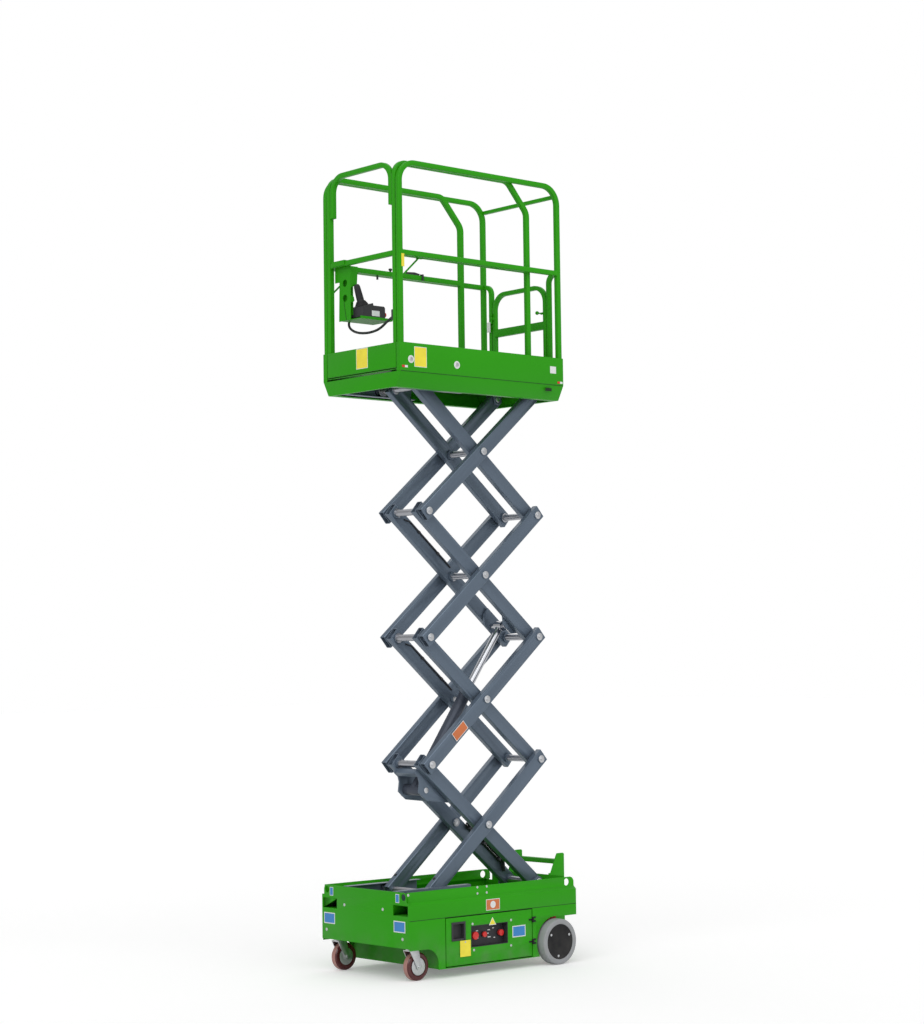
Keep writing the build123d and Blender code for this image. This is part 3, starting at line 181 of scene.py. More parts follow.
class Finish(Web):
    """A web that makes a material."""

    def __init__(self, name):
        self.material = bpy.data.materials.new(name)
        self.material.use_nodes = True
        super().__init__(self.material.node_tree)

    def place(self, scale=(1.0, 1.0, 1.0)):
        spot = self.node("ShaderNodeTexCoord", output=3)
        return self.node("ShaderNodeMapping", inputs={"Vector": spot, "Scale": scale})

    def noise(self, spot, size, detail):
        """Grey noise whose blobs are about `size` metres across."""
        inputs = {"Vector": spot, "Scale": 1.0 / size, "Detail": detail}
        return self.node("ShaderNodeTexNoise", inputs=inputs)

    def between(self, factor, low, high):
        """Ramp a grey value from 0 at `low` to 1 at `high`."""
        ends = {"Value": factor, "From Min": low, "From Max": high}
        return self.node("ShaderNodeMapRange", {"clamp": True}, ends)

    def blend(self, factor, first, second):
        inputs = {0: factor, 6: opaque(first), 7: opaque(second)}
        return self.node("ShaderNodeMix", {"data_type": "RGBA"}, inputs, output=2)

    def bump(self, height, distance):
        return self.node("ShaderNodeBump", inputs={"Height": height, "Distance": distance})

    def surface(self, colour, **values):
        names = {"rough": "Roughness", "metal": "Metallic", "normal": "Normal",
                 "coat": "Coat Weight", "coat_rough": "Coat Roughness",
                 "shine": "Specular IOR Level"}
        inputs = {names[key]: value for key, value in values.items()}
        inputs["Base Color"] = opaque(colour)
        skin = self.node("ShaderNodeBsdfPrincipled", inputs=inputs)
        self.node("ShaderNodeOutputMaterial", inputs=(skin,))
        return self.material


def from_screen(red, green, blue):
    """A colour in 0 to 255 screen values as linear light."""
    return tuple(
        v / 12.92 if v <= 0.04045 else ((v + 0.055) / 1.055) ** 2.4
        for v in (red / 255.0, green / 255.0, blue / 255.0)
    )


def shade(colour, factor):
    return tuple(min(1.0, channel * factor) for channel in colour)

# %% [markdown]
# ## Studio
#
# The floor and the world are white, and three very wide suns light the
# machine evenly from all sides, so the green paint shows its own colour and
# the floor keeps one tone right to the horizon. Camera and glass rays see a
# plain white world, while the light that falls on the machine is weaker.

# %% Build floor, world and lamps
WORLD_LIGHT = 0.50
FLOOR_REACH = 60.0
FLOOR_GLOW = 0.22
FLOOR_GREY, WHITE = (0.88, 0.88, 0.88, 1.0), (1.0, 1.0, 1.0, 1.0)


def studio_world():
    """White to the eye, and a weaker even light on the machine."""
    world = bpy.data.worlds.new("studio")
    world.use_nodes = True
    sky = Web(world.node_tree)
    rays = [sky.node("ShaderNodeLightPath", output=f"Is {kind} Ray")
            for kind in ("Camera", "Transmission")]
    seen = sky.node("ShaderNodeMath", {"operation": "MAXIMUM"}, rays)
    glow, plain = (sky.node("ShaderNodeBackground", inputs={"Color": WHITE, "Strength": strength})
                   for strength in (WORLD_LIGHT, 1.0))
    mix = sky.node("ShaderNodeMixShader", inputs=(seen, glow, plain))
    sky.node("ShaderNodeOutputWorld", inputs=(mix,))
    return world


def soft_sun(name, toward, width, power):
    """A sun that shines from the direction `toward`, as wide as `width` degrees."""
    data = bpy.data.lights.new(name, "SUN")
    data.angle = math.radians(width)
    data.energy = power
    lamp = bpy.data.objects.new(name, data)
    lamp.matrix_world = Vector(toward).to_track_quat("Z", "Y").to_matrix().to_4x4()
    scene.collection.objects.link(lamp)


scene.view_settings.view_transform = "Standard"
scene.world = studio_world()
SUNS = {  # direction it shines from, width in degrees, power
    "sun_key": ((0.75, 0.45, 0.75), 50.0, 0.95),
    "sun_side": ((0.10, 1.0, 0.55), 60.0, 0.70),
    "sun_back": ((-0.6, -0.8, 0.9), 70.0, 0.45),
}
for name, (toward, width, power) in SUNS.items():
    soft_sun(name, toward, width, power)

floor_mesh = bpy.data.meshes.new("floor")
floor_mesh.from_pydata(
    [(x * FLOOR_REACH, y * FLOOR_REACH, 0) for x, y in ((-1, -1), (1, -1), (1, 1), (-1, 1))],
    [], [(0, 1, 2, 3)],
)
floor = bpy.data.objects.new("floor", floor_mesh)
floor.location.z = -0.0005
scene.collection.objects.link(floor)
paper = Finish("floor_paper")
sheet_look = paper.node("ShaderNodeBsdfDiffuse", inputs={"Color": FLOOR_GREY})
glow_look = paper.node("ShaderNodeEmission", inputs={"Strength": FLOOR_GLOW})
eye = paper.node("ShaderNodeLightPath", output=0)
dark = paper.node("ShaderNodeEmission", inputs={"Strength": 0.0})
lift_up = paper.node("ShaderNodeMixShader", inputs=(eye, dark, glow_look))
sheet_and_glow = paper.node("ShaderNodeAddShader", inputs=(sheet_look, lift_up))
paper.node("ShaderNodeOutputMaterial", inputs=(sheet_and_glow,))
floor_mesh.materials.append(paper.material)
print("suns:", len(SUNS))

# %% [markdown]
# ## Paint
#
# Sheet metal on a lift is powder coated. Powder coat has a fine orange-peel
# texture, its gloss changes a little from place to place, and its colour
# drifts by a few percent. Dust settles on the lowest parts. The texture goes
# into a bump and the rest into colour and roughness.

# %% Define powder coat
GREEN = from_screen(44, 154, 8)
ARM_GREY = from_screen(103, 116, 131)


def powder_coat(name, colour, rough=0.36, peel=0.00006, dusty=0.0, metal=0.0):
    coat = Finish(name)
    spot = coat.place()
    broad = coat.noise(spot, 0.55, 2.0)
    fine = coat.noise(spot, 0.0022, 2.0)
    streak = coat.noise(coat.place((1.0, 1.0, 0.12)), 0.05, 4.0)
    tone = coat.blend(broad, shade(colour, 0.93), shade(colour, 1.07))
    tone = coat.blend(coat.between(streak, 0.62, 0.80) * 0.20, tone, shade(colour, 0.80))
    if dusty:
        height = coat.node("ShaderNodeSeparateXYZ", inputs=(spot,), output=2)
        patches = coat.between(coat.noise(spot, 0.09, 5.0), 0.35, 0.75)
        low = coat.between(height, 0.30, 0.03) * patches
        tone = coat.blend(low * dusty, tone, (0.22, 0.21, 0.19))
    gloss = rough + (coat.noise(spot, 0.08, 3.0) - 0.5) * 0.12
    return coat.surface(colour=tone, rough=gloss, metal=metal, coat=0.03, coat_rough=0.2,
                        shine=0.18, normal=coat.bump(fine, peel))


green_paint = powder_coat("green_powder_coat", GREEN, rough=0.42, dusty=0.35)
arm_paint = powder_coat("grey_powder_coat", ARM_GREY, rough=0.32, metal=0.45)
black_paint = powder_coat("black_powder_coat", from_screen(30, 30, 32), rough=0.5, dusty=0.2)
red_paint = powder_coat("red_powder_coat", from_screen(190, 34, 24), rough=0.45, dusty=0.4)

# %% [markdown]
# ## Bare metals
#
# Pins, forks and the small fittings are zinc plated: bright, but with the
# faint crystal patches of the plating. The cylinder's rod is hard chrome and
# nearly a mirror, with only a hair of turning marks round it. The rollers and
# the tubes between the inner arms are turned steel.

# %% Define zinc, chrome and steel
def plated(name, colour, rough, patch=0.004, contrast=0.12):
    metal = Finish(name)
    spot = metal.place()
    crystals = metal.node("ShaderNodeTexVoronoi", inputs={"Vector": spot, "Scale": 1.0 / patch})
    cloud = metal.noise(spot, 0.03, 4.0)
    tone = metal.blend(crystals * 0.6 + cloud * 0.4,
                       shade(colour, 1.0 - contrast), shade(colour, 1.0 + contrast))
    gloss = rough + (cloud - 0.5) * 0.16
    return metal.surface(colour=tone, rough=gloss, metal=1.0)


zinc = plated("zinc_plate", (0.66, 0.67, 0.69), 0.34)
roller_steel = plated("turned_steel", (0.42, 0.42, 0.44), 0.42, patch=0.002)
chrome = Finish("hard_chrome")
ring_marks = chrome.noise(chrome.place((1.0, 1.0, 60.0)), 0.02, 2.0)
chrome_rod = chrome.surface(colour=(0.50, 0.51, 0.54), metal=1.0, rough=0.08 + ring_marks * 0.10)
tube_steel = plated("tube_steel", (0.42, 0.43, 0.46), 0.30)

# %% [markdown]
# ## Rubber and plastics
#
# The drive tyres are grey so that they leave no marks on a floor. The casters
# have a glossy maroon wheel with a paler running tread. The control box and
# the ground panel are moulded in fine-grained black plastic, and the cable
# sheath is soft and dull.

# %% Define rubber and plastic
def moulded(name, colour, rough, grain=0.0009, depth=0.00008, dusty=0.0, coat=0.0):
    skin = Finish(name)
    spot = skin.place()
    pebble = skin.noise(spot, grain, 2.0)
    cloud = skin.noise(spot, 0.05, 4.0)
    tone = skin.blend(cloud, shade(colour, 0.86), shade(colour, 1.14))
    if dusty:
        patches = skin.between(skin.noise(spot, 0.02, 6.0), 0.45, 0.75)
        tone = skin.blend(patches * dusty, tone, (0.30, 0.28, 0.25))
    gloss = rough + (cloud - 0.5) * 0.14
    return skin.surface(colour=tone, rough=gloss, coat=coat, normal=skin.bump(pebble, depth))


grey_rubber = moulded("grey_rubber", from_screen(150, 152, 155), 0.72, dusty=0.25)
caster_maroon = moulded("caster_maroon", from_screen(78, 18, 22), 0.28, coat=0.4)
caster_tread = moulded("caster_tread", from_screen(168, 120, 112), 0.42, dusty=0.2)
black_plastic = moulded("black_plastic", from_screen(46, 46, 50), 0.5)
boot_rubber = moulded("boot_rubber", from_screen(34, 34, 37), 0.66)
cable_sheath = moulded("cable_sheath", from_screen(30, 31, 36), 0.48)
red_plastic = moulded("red_plastic", from_screen(214, 38, 34), 0.34, coat=0.3)
yellow_film = moulded("yellow_film", from_screen(246, 226, 60), 0.42, coat=0.2)
blue_film = moulded("blue_film", from_screen(46, 128, 196), 0.42, coat=0.2)
white_film = moulded("white_film", from_screen(226, 228, 228), 0.42, coat=0.2)
orange_film = moulded("orange_film", from_screen(204, 112, 60), 0.42, coat=0.2)

# %% [markdown]
# The deck is walked on, so it carries a raised tread pattern. Two crossed
# sine waves, cut off at a height, leave small lozenges that a Bump node lifts.

# %% Define the tread plate
tread = Finish("deck_tread_plate")
spot = tread.place()
deck_x, deck_y = (tread.node("ShaderNodeSeparateXYZ", inputs=(spot,), output=axis)
                  for axis in (0, 1))
TREAD_PITCH, TREAD_SLANT = 0.030, 0.6
turns = math.tau / TREAD_PITCH
across = deck_y * TREAD_SLANT
wave_a = ((deck_x + across) * turns).sine()
wave_b = ((deck_x - across) * turns).sine()
lozenge = tread.between(wave_a * wave_b, 0.35, 0.62)
worn = tread.between(tread.noise(spot, 0.10, 5.0), 0.45, 0.72)
tone = tread.blend(worn * lozenge * 0.7, shade(GREEN, 0.85), (0.30, 0.32, 0.30))
deck_plate = tread.surface(colour=tone, rough=0.52 - lozenge * 0.12,
                           normal=tread.bump(lozenge, 0.0016))

# %% [markdown]
# ## Paint the solids
#
# Each solid names a finish in the record. A table turns those names into the
# materials above, and most solids only need this.

# %% Give every solid its finish
FINISHES = {
    "green_paint": green_paint, "arm_paint": arm_paint, "dark_paint": black_paint,
    "red_paint": red_paint, "deck_plate": deck_plate, "zinc": zinc,
    "roller_steel": roller_steel, "chrome_rod": chrome_rod, "drive_tyre": grey_rubber,
    "caster_tread": caster_maroon, "black_plastic": black_plastic, "cable_rubber": cable_sheath,
}
slot_of = {row["node"]: row["material_slot"] for row in frame["record"]["subparts"]}
bodies = frame["record"]["behaviour"]["bodies"]
body_of = {node: body for body, members in bodies.items() for node in members}


def dress(mesh, *materials):
    mesh.materials.clear()
    for material in materials:
        mesh.materials.append(material)


for name, solid in nodes.items():
    dress(solid.data, FINISHES[slot_of[name]])
print("painted:", len(nodes))

# %% [markdown]
# ## Soft edges
#
# Folded sheet and drawn tube never have razor edges. A solid's mesh may not
# be changed, so its copy is merged, bevelled and shown in its place. The
# bevel only cuts inwards, so no size grows. A copy can also carry a second
# material, chosen face by face from where the face lies: the tubes between
# the inner arms are bare steel.

# %% Round the edges of copies
LEAST_ANGLE = math.radians(32.0)
CREASE = math.radians(35.0)


def new_object(name, mesh):
    made = bpy.data.objects.new(name, mesh)
    scene.collection.objects.link(made)
    return made


def evaluated_mesh(host):
    bpy.context.view_layer.update()
    live = host.evaluated_get(bpy.context.evaluated_depsgraph_get())
    return bpy.data.meshes.new_from_object(live)


def settle(host, mesh):
    """Swap an object's live modifiers for their result."""
    result = evaluated_mesh(host)
    host.modifiers.clear()
    host.data = result
    result.name = host.name
    if mesh.users == 0:
        bpy.data.meshes.remove(mesh)
    return host


def round_edges(mesh, width, segments=2):
    host = new_object(mesh.name, mesh)
    mesh.shade_smooth()
    bevel = host.modifiers.new("edges", "BEVEL")
    bevel.width = width
    bevel.segments = segments
    bevel.limit_method = "ANGLE"
    bevel.angle_limit = LEAST_ANGLE
    bevel.harden_normals = True
    bevel.miter_outer = "MITER_ARC"
    return settle(host, mesh)


def merged_copy(node, name):
    mesh = nodes[node].data.copy()
    mesh.name = name
    shape = bmesh.new()
    shape.from_mesh(mesh)
    bmesh.ops.remove_doubles(shape, verts=shape.verts, dist=2e-5)
    bmesh.ops.dissolve_limit(shape, angle_limit=math.radians(0.6), verts=shape.verts,
                             edges=shape.edges, delimit={"NORMAL"})
    for edge in shape.edges:
        edge.smooth = True
    shape.to_mesh(mesh)
    shape.free()
    return mesh


def softened(node, width, pick=None, extra=(), segments=2):
    """Show a round-edged copy of a solid; pick(centre) names a face's material."""
    piece = round_edges(merged_copy(node, node + "_skin"), width, segments=segments)
    dress(piece.data, FINISHES[slot_of[node]], *extra)
    for polygon in piece.data.polygons:
        polygon.material_index = pick(polygon.center) if pick else 0
    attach(piece, body_of[node])
    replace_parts(piece, node)
    return piece


EDGE_WIDTHS = {
    0.0012: ("chassis_tray", "toe_boards", "extension_toe_board",
             "platform_frame", "entry_ladder"),
    0.0040: ("guard_rail_left", "guard_rail_right", "extension_rail_left", "extension_rail_right",
             "front_rail", "rear_gate_posts", "rear_gate"),
    0.0015: ("base_slide_tracks", "platform_slide_tracks", "base_pivot_lugs",
             "platform_pivot_lugs", "drive_hub_left", "drive_hub_right",
             "platform_pivot_pins", "deck_rollers", "base_rollers"),
}
for stage in STAGES:
    EDGE_WIDTHS[0.0015] += (f"outer_arms_{stage}", f"inner_pins_{stage}")
for width, members in EDGE_WIDTHS.items():
    for node in members:
        softened(node, width)


TUBE_RADIUS, TUBE_END = 0.0195, 0.081


def bare_tubes(stage):
    """Name the faces of the tubes that tie a stage's inner arms."""
    def pick(centre):
        gaps = [math.hypot(centre.x - x, centre.z - z) for x, z in pin_places(stage)]
        return int(min(gaps) < TUBE_RADIUS and abs(centre.y) < TUBE_END)
    return pick


for stage in STAGES:
    softened(f"inner_arms_{stage}", 0.0015, bare_tubes(stage), (tube_steel,))
print("round-edged copies:", len(STAGES) + sum(map(len, EDGE_WIDTHS.values())))

# %% [markdown]
# ## Shapes for the small parts
#
# Most small parts are turned on a lathe or cut from plate. A `Pile` collects
# such closed shapes and makes one mesh of them, so that a row of plates or a
# knob with its stem is a single piece. A turned shape is a list of radius and
# height pairs spun round an axis, which is quicker to read than moved
# primitives. Normals are recalculated once at the end, when all shapes are
# closed.

# %% Define a pile of turned and cut shapes
class Pile:
    """Closed shapes that become one piece."""

    def __init__(self):
        self.points, self.faces, self.finish, self.materials = [], [], [], []

    def add(self, points, faces, material):
        start = len(self.points)
        self.points += [tuple(point) for point in points]
        self.faces += [[start + index for index in face] for face in faces]
        if material not in self.materials:
            self.materials.append(material)
        self.finish += [self.materials.index(material)] * len(faces)

    def brick(self, low, high, material, turn=None):
        corners = [Vector((x, y, z)) for x in (low[0], high[0])
                   for y in (low[1], high[1]) for z in (low[2], high[2])]
        sides = [(0, 1, 3, 2), (4, 6, 7, 5), (0, 4, 5, 1), (2, 3, 7, 6), (0, 2, 6, 4), (1, 5, 7, 3)]
        self.add([turn @ corner for corner in corners] if turn else corners, sides, material)

    def turned(self, profile, place, axis, material, sides=32):
        """Spin (radius, height) pairs round `axis`, measured from `place`."""
        turn = Vector(axis).to_track_quat("Z", "Y")
        points, rings, faces = [], [], []
        for radius, height in profile:
            count = 1 if radius < 1e-6 else sides
            rings.append([len(points) + step for step in range(count)])
            for step in range(count):
                angle = math.tau * step / sides
                arm = Vector((radius * math.cos(angle), radius * math.sin(angle), height))
                points.append(Vector(place) + turn @ arm)
        for first, second in zip(rings, rings[1:]):
            for step in range(sides):
                after = (step + 1) % sides
                quad = [first[step % len(first)], first[after % len(first)],
                        second[after % len(second)], second[step % len(second)]]
                faces.append(list(dict.fromkeys(quad)))
        self.add(points, faces, material)

    def prism(self, outline, y0, y1, material):
        """Pull an outline of (x, z) corners from y0 to y1."""
        count = len(outline)
        points = [(x, y, z) for y in (y0, y1) for x, z in outline]
        sides = [[i, (i + 1) % count, (i + 1) % count + count, i + count] for i in range(count)]
        caps = [list(range(count)), list(range(count, 2 * count))]
        self.add(points, sides + caps, material)

    def sheet(self, outline, holes, x0, x1, material):
        """Cut a sheet that faces along X from (y, z) corners and (y, z, radius) holes."""
        curve = bpy.data.curves.new("cutting", "CURVE")
        curve.dimensions, curve.fill_mode, curve.extrude = "2D", "BOTH", (x1 - x0) / 2
        turns = [math.tau * step / 32 for step in range(32)]
        rounds = [[(y + radius * math.cos(turn), z + radius * math.sin(turn)) for turn in turns]
                  for y, z, radius in holes]
        for loop in [outline, *rounds]:
            edge = curve.splines.new("POLY")
            edge.points.add(len(loop) - 1)
            edge.use_cyclic_u = True
            for point, (y, z) in zip(edge.points, loop):
                point.co = (y, z, 0.0, 1.0)
        cutter = new_object("cutting", curve)
        cut = evaluated_mesh(cutter)
        middle = (x0 + x1) / 2
        welded = bmesh.new()
        welded.from_mesh(cut)
        bmesh.ops.remove_doubles(welded, verts=welded.verts, dist=1e-5)
        welded.to_mesh(cut)
        welded.free()
        points = [(middle + v.co.z, v.co.x, v.co.y) for v in cut.vertices]
        self.add(points, [list(face.vertices) for face in cut.polygons], material)
        bpy.data.objects.remove(cutter)
        bpy.data.curves.remove(curve)
        bpy.data.meshes.remove(cut)

    def piece(self, name, body, slot, bevel=0.0):
        mesh = bpy.data.meshes.new(name)
        mesh.from_pydata(self.points, [], self.faces)
        dress(mesh, *self.materials)
        mesh.polygons.foreach_set("material_index", self.finish)
        shape = bmesh.new()
        shape.from_mesh(mesh)
        bmesh.ops.recalc_face_normals(shape, faces=shape.faces)
        shape.to_mesh(mesh)
        shape.free()
        if bevel:
            made = round_edges(mesh, bevel)
        else:
            made = new_object(name, mesh)
            mesh.shade_smooth()
            mesh.set_sharp_from_angle(angle=CREASE)
        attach(made, body)
        return made


def rod(radius, length):
    """The profile of a plain round rod, for `turned`."""
    return [(0, 0), (radius, 0), (radius, length), (0, length)]


def reach(node):
    """Lowest and highest corner of a solid, as two vectors."""
    low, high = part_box(node)
    return Vector(low), Vector(high)


print("panel reaches", [round(v, 3) for v in reach("ground_control_panel")[1]])

# %% [markdown]
# ## Growing rows of parts
#
# Screws, bellows rings and hose clips repeat, so Geometry Nodes make them. The
# host object is only a cloud of points that carry two attributes: `facing`,
# the way a part looks, and `size`, how large it is. The tree sets one shape on
# every point. Another way would be one linked copy after another, but then
# each new screw would need a new object. A `Grower` is a `Web` for such a
# tree, with named inputs for its sizes.

# %% Define growers
class Grower(Web):
    """A web that grows a mesh from the points of its host."""

    def __init__(self, name, **sizes):
        super().__init__(bpy.data.node_groups.new(name, "GeometryNodeTree"))
        face = self.tree.interface
        for way in ("INPUT", "OUTPUT"):
            face.new_socket("Geometry", in_out=way, socket_type="NodeSocketGeometry")
        for title, value in sizes.items():
            kind = "NodeSocketInt" if isinstance(value, int) else "NodeSocketFloat"
            face.new_socket(title, in_out="INPUT", socket_type=kind).default_value = value
        self.entry = self.tree.nodes.new("NodeGroupInput")

    def given(self, title):
        return Wire(self, self.entry.outputs[title])

    def joined(self, *shapes):
        made = self.tree.nodes.new("GeometryNodeJoinGeometry")
        for shape in shapes:
            self.tree.links.new(shape.socket, made.inputs[0])
        return Wire(self, made.outputs[0])

    def on_points(self, shape):
        """Set `shape` on every host point, turned to `facing`, scaled by `size`."""
        named = "GeometryNodeInputNamedAttribute"
        facing = self.node(named, {"data_type": "FLOAT_VECTOR"}, ("facing",))
        size = self.node(named, {"data_type": "FLOAT"}, ("size",))
        turn = self.node("FunctionNodeAlignRotationToVector", {"axis": "Z"}, {"Vector": facing})
        seats = {"Points": self.given("Geometry"), "Instance": shape,
                 "Rotation": turn, "Scale": size}
        return self.node("GeometryNodeInstanceOnPoints", inputs=seats)

    def end(self, shape, material):
        solid = self.node("GeometryNodeRealizeInstances", inputs=(shape,))
        coat = {"Geometry": solid, "Material": material}
        dressed = self.node("GeometryNodeSetMaterial", inputs=coat)
        self.node("NodeGroupOutput", inputs=(dressed,))
        return self


def cloud(name, seats):
    """A mesh of bare points from (place, facing, size) rows."""
    mesh = bpy.data.meshes.new(name)
    mesh.from_pydata([place for place, _, _ in seats], [], [])
    facing = mesh.attributes.new("facing", "FLOAT_VECTOR", "POINT")
    facing.data.foreach_set("vector", [v for _, look, _ in seats for v in look])
    size = mesh.attributes.new("size", "FLOAT", "POINT")
    size.data.foreach_set("value", [value for _, _, value in seats])
    return mesh


def grow(mesh, grower, body, slot, **sizes):
    """Run a grower on a host mesh and keep the result as a plain piece."""
    host = new_object(mesh.name, mesh)
    modifier = host.modifiers.new("grow", "NODES")
    modifier.node_group = grower.tree
    for item in grower.tree.interface.items_tree:
        if item.in_out == "INPUT" and item.name in sizes:
            modifier[item.identifier] = sizes[item.name]
    piece = settle(host, mesh)
    piece.data.set_sharp_from_angle(angle=CREASE)
    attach(piece, body)
    return piece


# %% [markdown]
# A screw head here is a low dome on a thin washer. The bolt on a pin's end is
# a hexagon on a washer. The ring is a small torus, made by running a circle
# round a larger circle.

# %% Build the screw, bolt and ring trees
DISC, CIRCLE = "GeometryNodeMeshCylinder", "GeometryNodeCurvePrimitiveCircle"


def screw_tree():
    tree = Grower("dome_screws", **{"Head Radius": 0.006, "Washer Radius": 0.0085})
    ball = tree.node("GeometryNodeMeshUVSphere", inputs=(20, 12, tree.given("Head Radius")))
    dome = tree.node("GeometryNodeTransform", inputs={"Geometry": ball, "Scale": (1.0, 1.0, 0.5)})
    washer = tree.node(DISC, inputs=(24, 1, 1, tree.given("Washer Radius"), 0.002))
    return tree.end(tree.on_points(tree.joined(dome, washer)), zinc)


def bolt_tree():
    tree = Grower("hex_bolts", **{"Head Radius": 0.0105, "Washer Radius": 0.014})
    hexagon = tree.node(DISC, inputs=(6, 1, 1, tree.given("Head Radius"), 0.010))
    washer = tree.node(DISC, inputs=(28, 1, 1, tree.given("Washer Radius"), 0.004))
    return tree.end(tree.on_points(tree.joined(hexagon, washer)), zinc)


def ring_tree(name, material):
    tree = Grower(name, **{"Ring Radius": 1.0, "Fold Radius": 0.12})
    path = tree.node(CIRCLE, inputs={0: 36, 4: tree.given("Ring Radius")})
    fold = tree.node(CIRCLE, inputs={0: 10, 4: tree.given("Fold Radius")})
    ring = tree.node("GeometryNodeCurveToMesh", inputs=(path, fold))
    return tree.end(tree.on_points(ring), material)


screws, bolts = screw_tree(), bolt_tree()
bellows = ring_tree("rubber_rings", boot_rubber)

# %% [markdown]
# ## Screws and bolts
#
# The front plate, the tray's sides, the left door, the wheel discs and the pin
# ends show their fasteners. Each row below is a place, the way the head faces
# and a size. One piece is made for each body, since a body moves as a whole.

# %% Seat the screws and bolts
FRONT, REAR = (1.0, 0.0, 0.0), (-1.0, 0.0, 0.0)
LEFT, RIGHT, UP = (0.0, 1.0, 0.0), (0.0, -1.0, 0.0), (0.0, 0.0, 1.0)
tray_high = reach("chassis_tray")[1]
nose, skin = tray_high.x, tray_high.y
band = skin - 0.018
chassis_seats = [((nose, y, z), FRONT, 1.0) for y, z in (
    (-0.173, 0.371), (0.155, 0.370), (-0.331, 0.227), (0.317, 0.225))]
for x in (0.160, 0.092):
    for z in (0.462, 0.429):
        chassis_seats += [((x, band, z), LEFT, 0.8), ((x, -band, z), RIGHT, 0.8)]
chassis_seats += [((0.648, band, 0.457), LEFT, 0.9), ((0.648, -band, 0.457), RIGHT, 0.9)]
door_places = ((0.214, 0.272), (0.206, 0.132), (-0.065, 0.132), (-0.067, 0.269))
rows = {
    "chassis": chassis_seats,
    "door_left": [((x, skin, z), LEFT, 0.8) for x, z in door_places],
}
wheel_low, wheel_high = reach("drive_hub_left")
axle = (wheel_low + wheel_high) / 2
SCREW_CIRCLE = 0.078
for side, facing, way in (("left", LEFT, 1.0), ("right", RIGHT, -1.0)):
    rows["drive_wheel_" + side] = [
        ((axle.x + SCREW_CIRCLE * math.cos(turn), way * wheel_high.y,
          axle.z + SCREW_CIRCLE * math.sin(turn)), facing, 0.8)
        for turn in map(math.radians, (154, 32, -80))
    ]
for body, seats in rows.items():
    grow(cloud(body + "_screws", seats), screws, body, "zinc")

pin_rows = {}
for stage in STAGES:
    pin_end = reach(f"inner_pins_{stage}")[1].y
    rear, middle, front = pin_places(stage)
    places = [middle] + [rear] * (stage > 1) + [front] * (stage < 4)
    pin_rows[f"inner_{stage}"] = [
        ((x, way * pin_end, z), (0.0, way, 0.0), 0.85) for x, z in places for way in (1.0, -1.0)
    ]
for body, seats in pin_rows.items():
    grow(cloud(body + "_bolts", seats), bolts, body, "zinc")
print("screws:", sum(map(len, rows.values())), "bolts:", sum(map(len, pin_rows.values())))

# %% [markdown]
# ## Wheels, doors and controls in two tones
#
# Some solids need a second colour on a few faces: the running tread of the
# casters, the red heads on the ground panel, the black hinges. The softened
# copy picks the colour from where a face's centre lies, so no shape is made
# twice.

# %% Pick second colours by place
TREAD_STARTS = 0.0735


def caster_colour(hub):
    return lambda c: int(math.hypot(c.x - hub.x, c.z - hub.z) > TREAD_STARTS)


for side in ("left", "right"):
    low, high = reach("caster_wheel_" + side)
    hub = (low + high) / 2
    softened("caster_wheel_" + side, 0.003, caster_colour(hub), (caster_tread,), segments=3)
    discs = Pile()
    for way in (-1.0, 1.0):
        face = hub + Vector((0.0, way * ((high.y - low.y) / 2 - 0.002), 0.0))
        discs.turned([(0, 0), (0.046, 0), (0.046, 0.0008), (0.040, 0.0022), (0.030, 0.0014),
                      (0.018, 0.0024), (0, 0.0024)], face, (0.0, way, 0.0), zinc, sides=40)
    discs.piece("caster_discs_" + side, "caster_wheel_" + side, "zinc")
    softened("caster_fork_" + side, 0.0015)
    softened("drive_tyre_" + side, 0.004, segments=3)

barrel_paint = powder_coat("barrel_powder_coat", from_screen(74, 80, 92), rough=0.34, metal=0.2)
softened("cylinder_barrel", 0.0015, lambda c: 1, (barrel_paint,))
skirt = reach("chassis_tray")[1].y + 0.0004
for node in ("door_left", "door_right", "side_skins"):
    softened(node, 0.0010, lambda c: int(abs(c.y) > skirt), (black_paint,))

panel_low, panel_high = reach("ground_control_panel")
panel_face = panel_high.y - 0.042
HEADS_Z, HEAD_RADIUS = 0.2045, 0.022


def head_colour(centre):
    """The switch heads: in front of the panel's face and clear of its rim."""
    in_depth = panel_face + 0.009 < centre.y < panel_high.y - 0.004
    in_length = panel_low.x + 0.006 < centre.x < panel_high.x - 0.006
    return int(in_depth and in_length and abs(centre.z - HEADS_Z) < HEAD_RADIUS)


softened("ground_control_panel", 0.0012, head_colour, (red_plastic,))
softened("charger_inlet", 0.001)
softened("cable_socket", 0.0015)
print("two-tone pieces made")

# %% [markdown]
# ## Blank plates
#
# Real machines carry many plates. Here they stay blank: a white edge and one
# plain colour. A plate is two very thin bricks, the coloured one a hair
# thicker, so that the edge shows all round without any texture.

# %% Fix the plates
def plate(pile, centre, facing, width, height, colour, edge=0.005, turn=None):
    """Blank plate on a wall that faces along "x" or "y"."""
    x, y, z = centre
    for inset, thick, material in ((0.0, 0.0004, white_film), (edge, 0.0007, colour)):
        w, h = width / 2 - inset, height / 2 - inset
        if facing == "x":
            pile.brick((x - 0.0005, y - w, z - h), (x + thick, y + w, z + h), material, turn)
        else:
            pile.brick((x - w, y - 0.0005, z - h), (x + w, y + thick, z + h), material, turn)


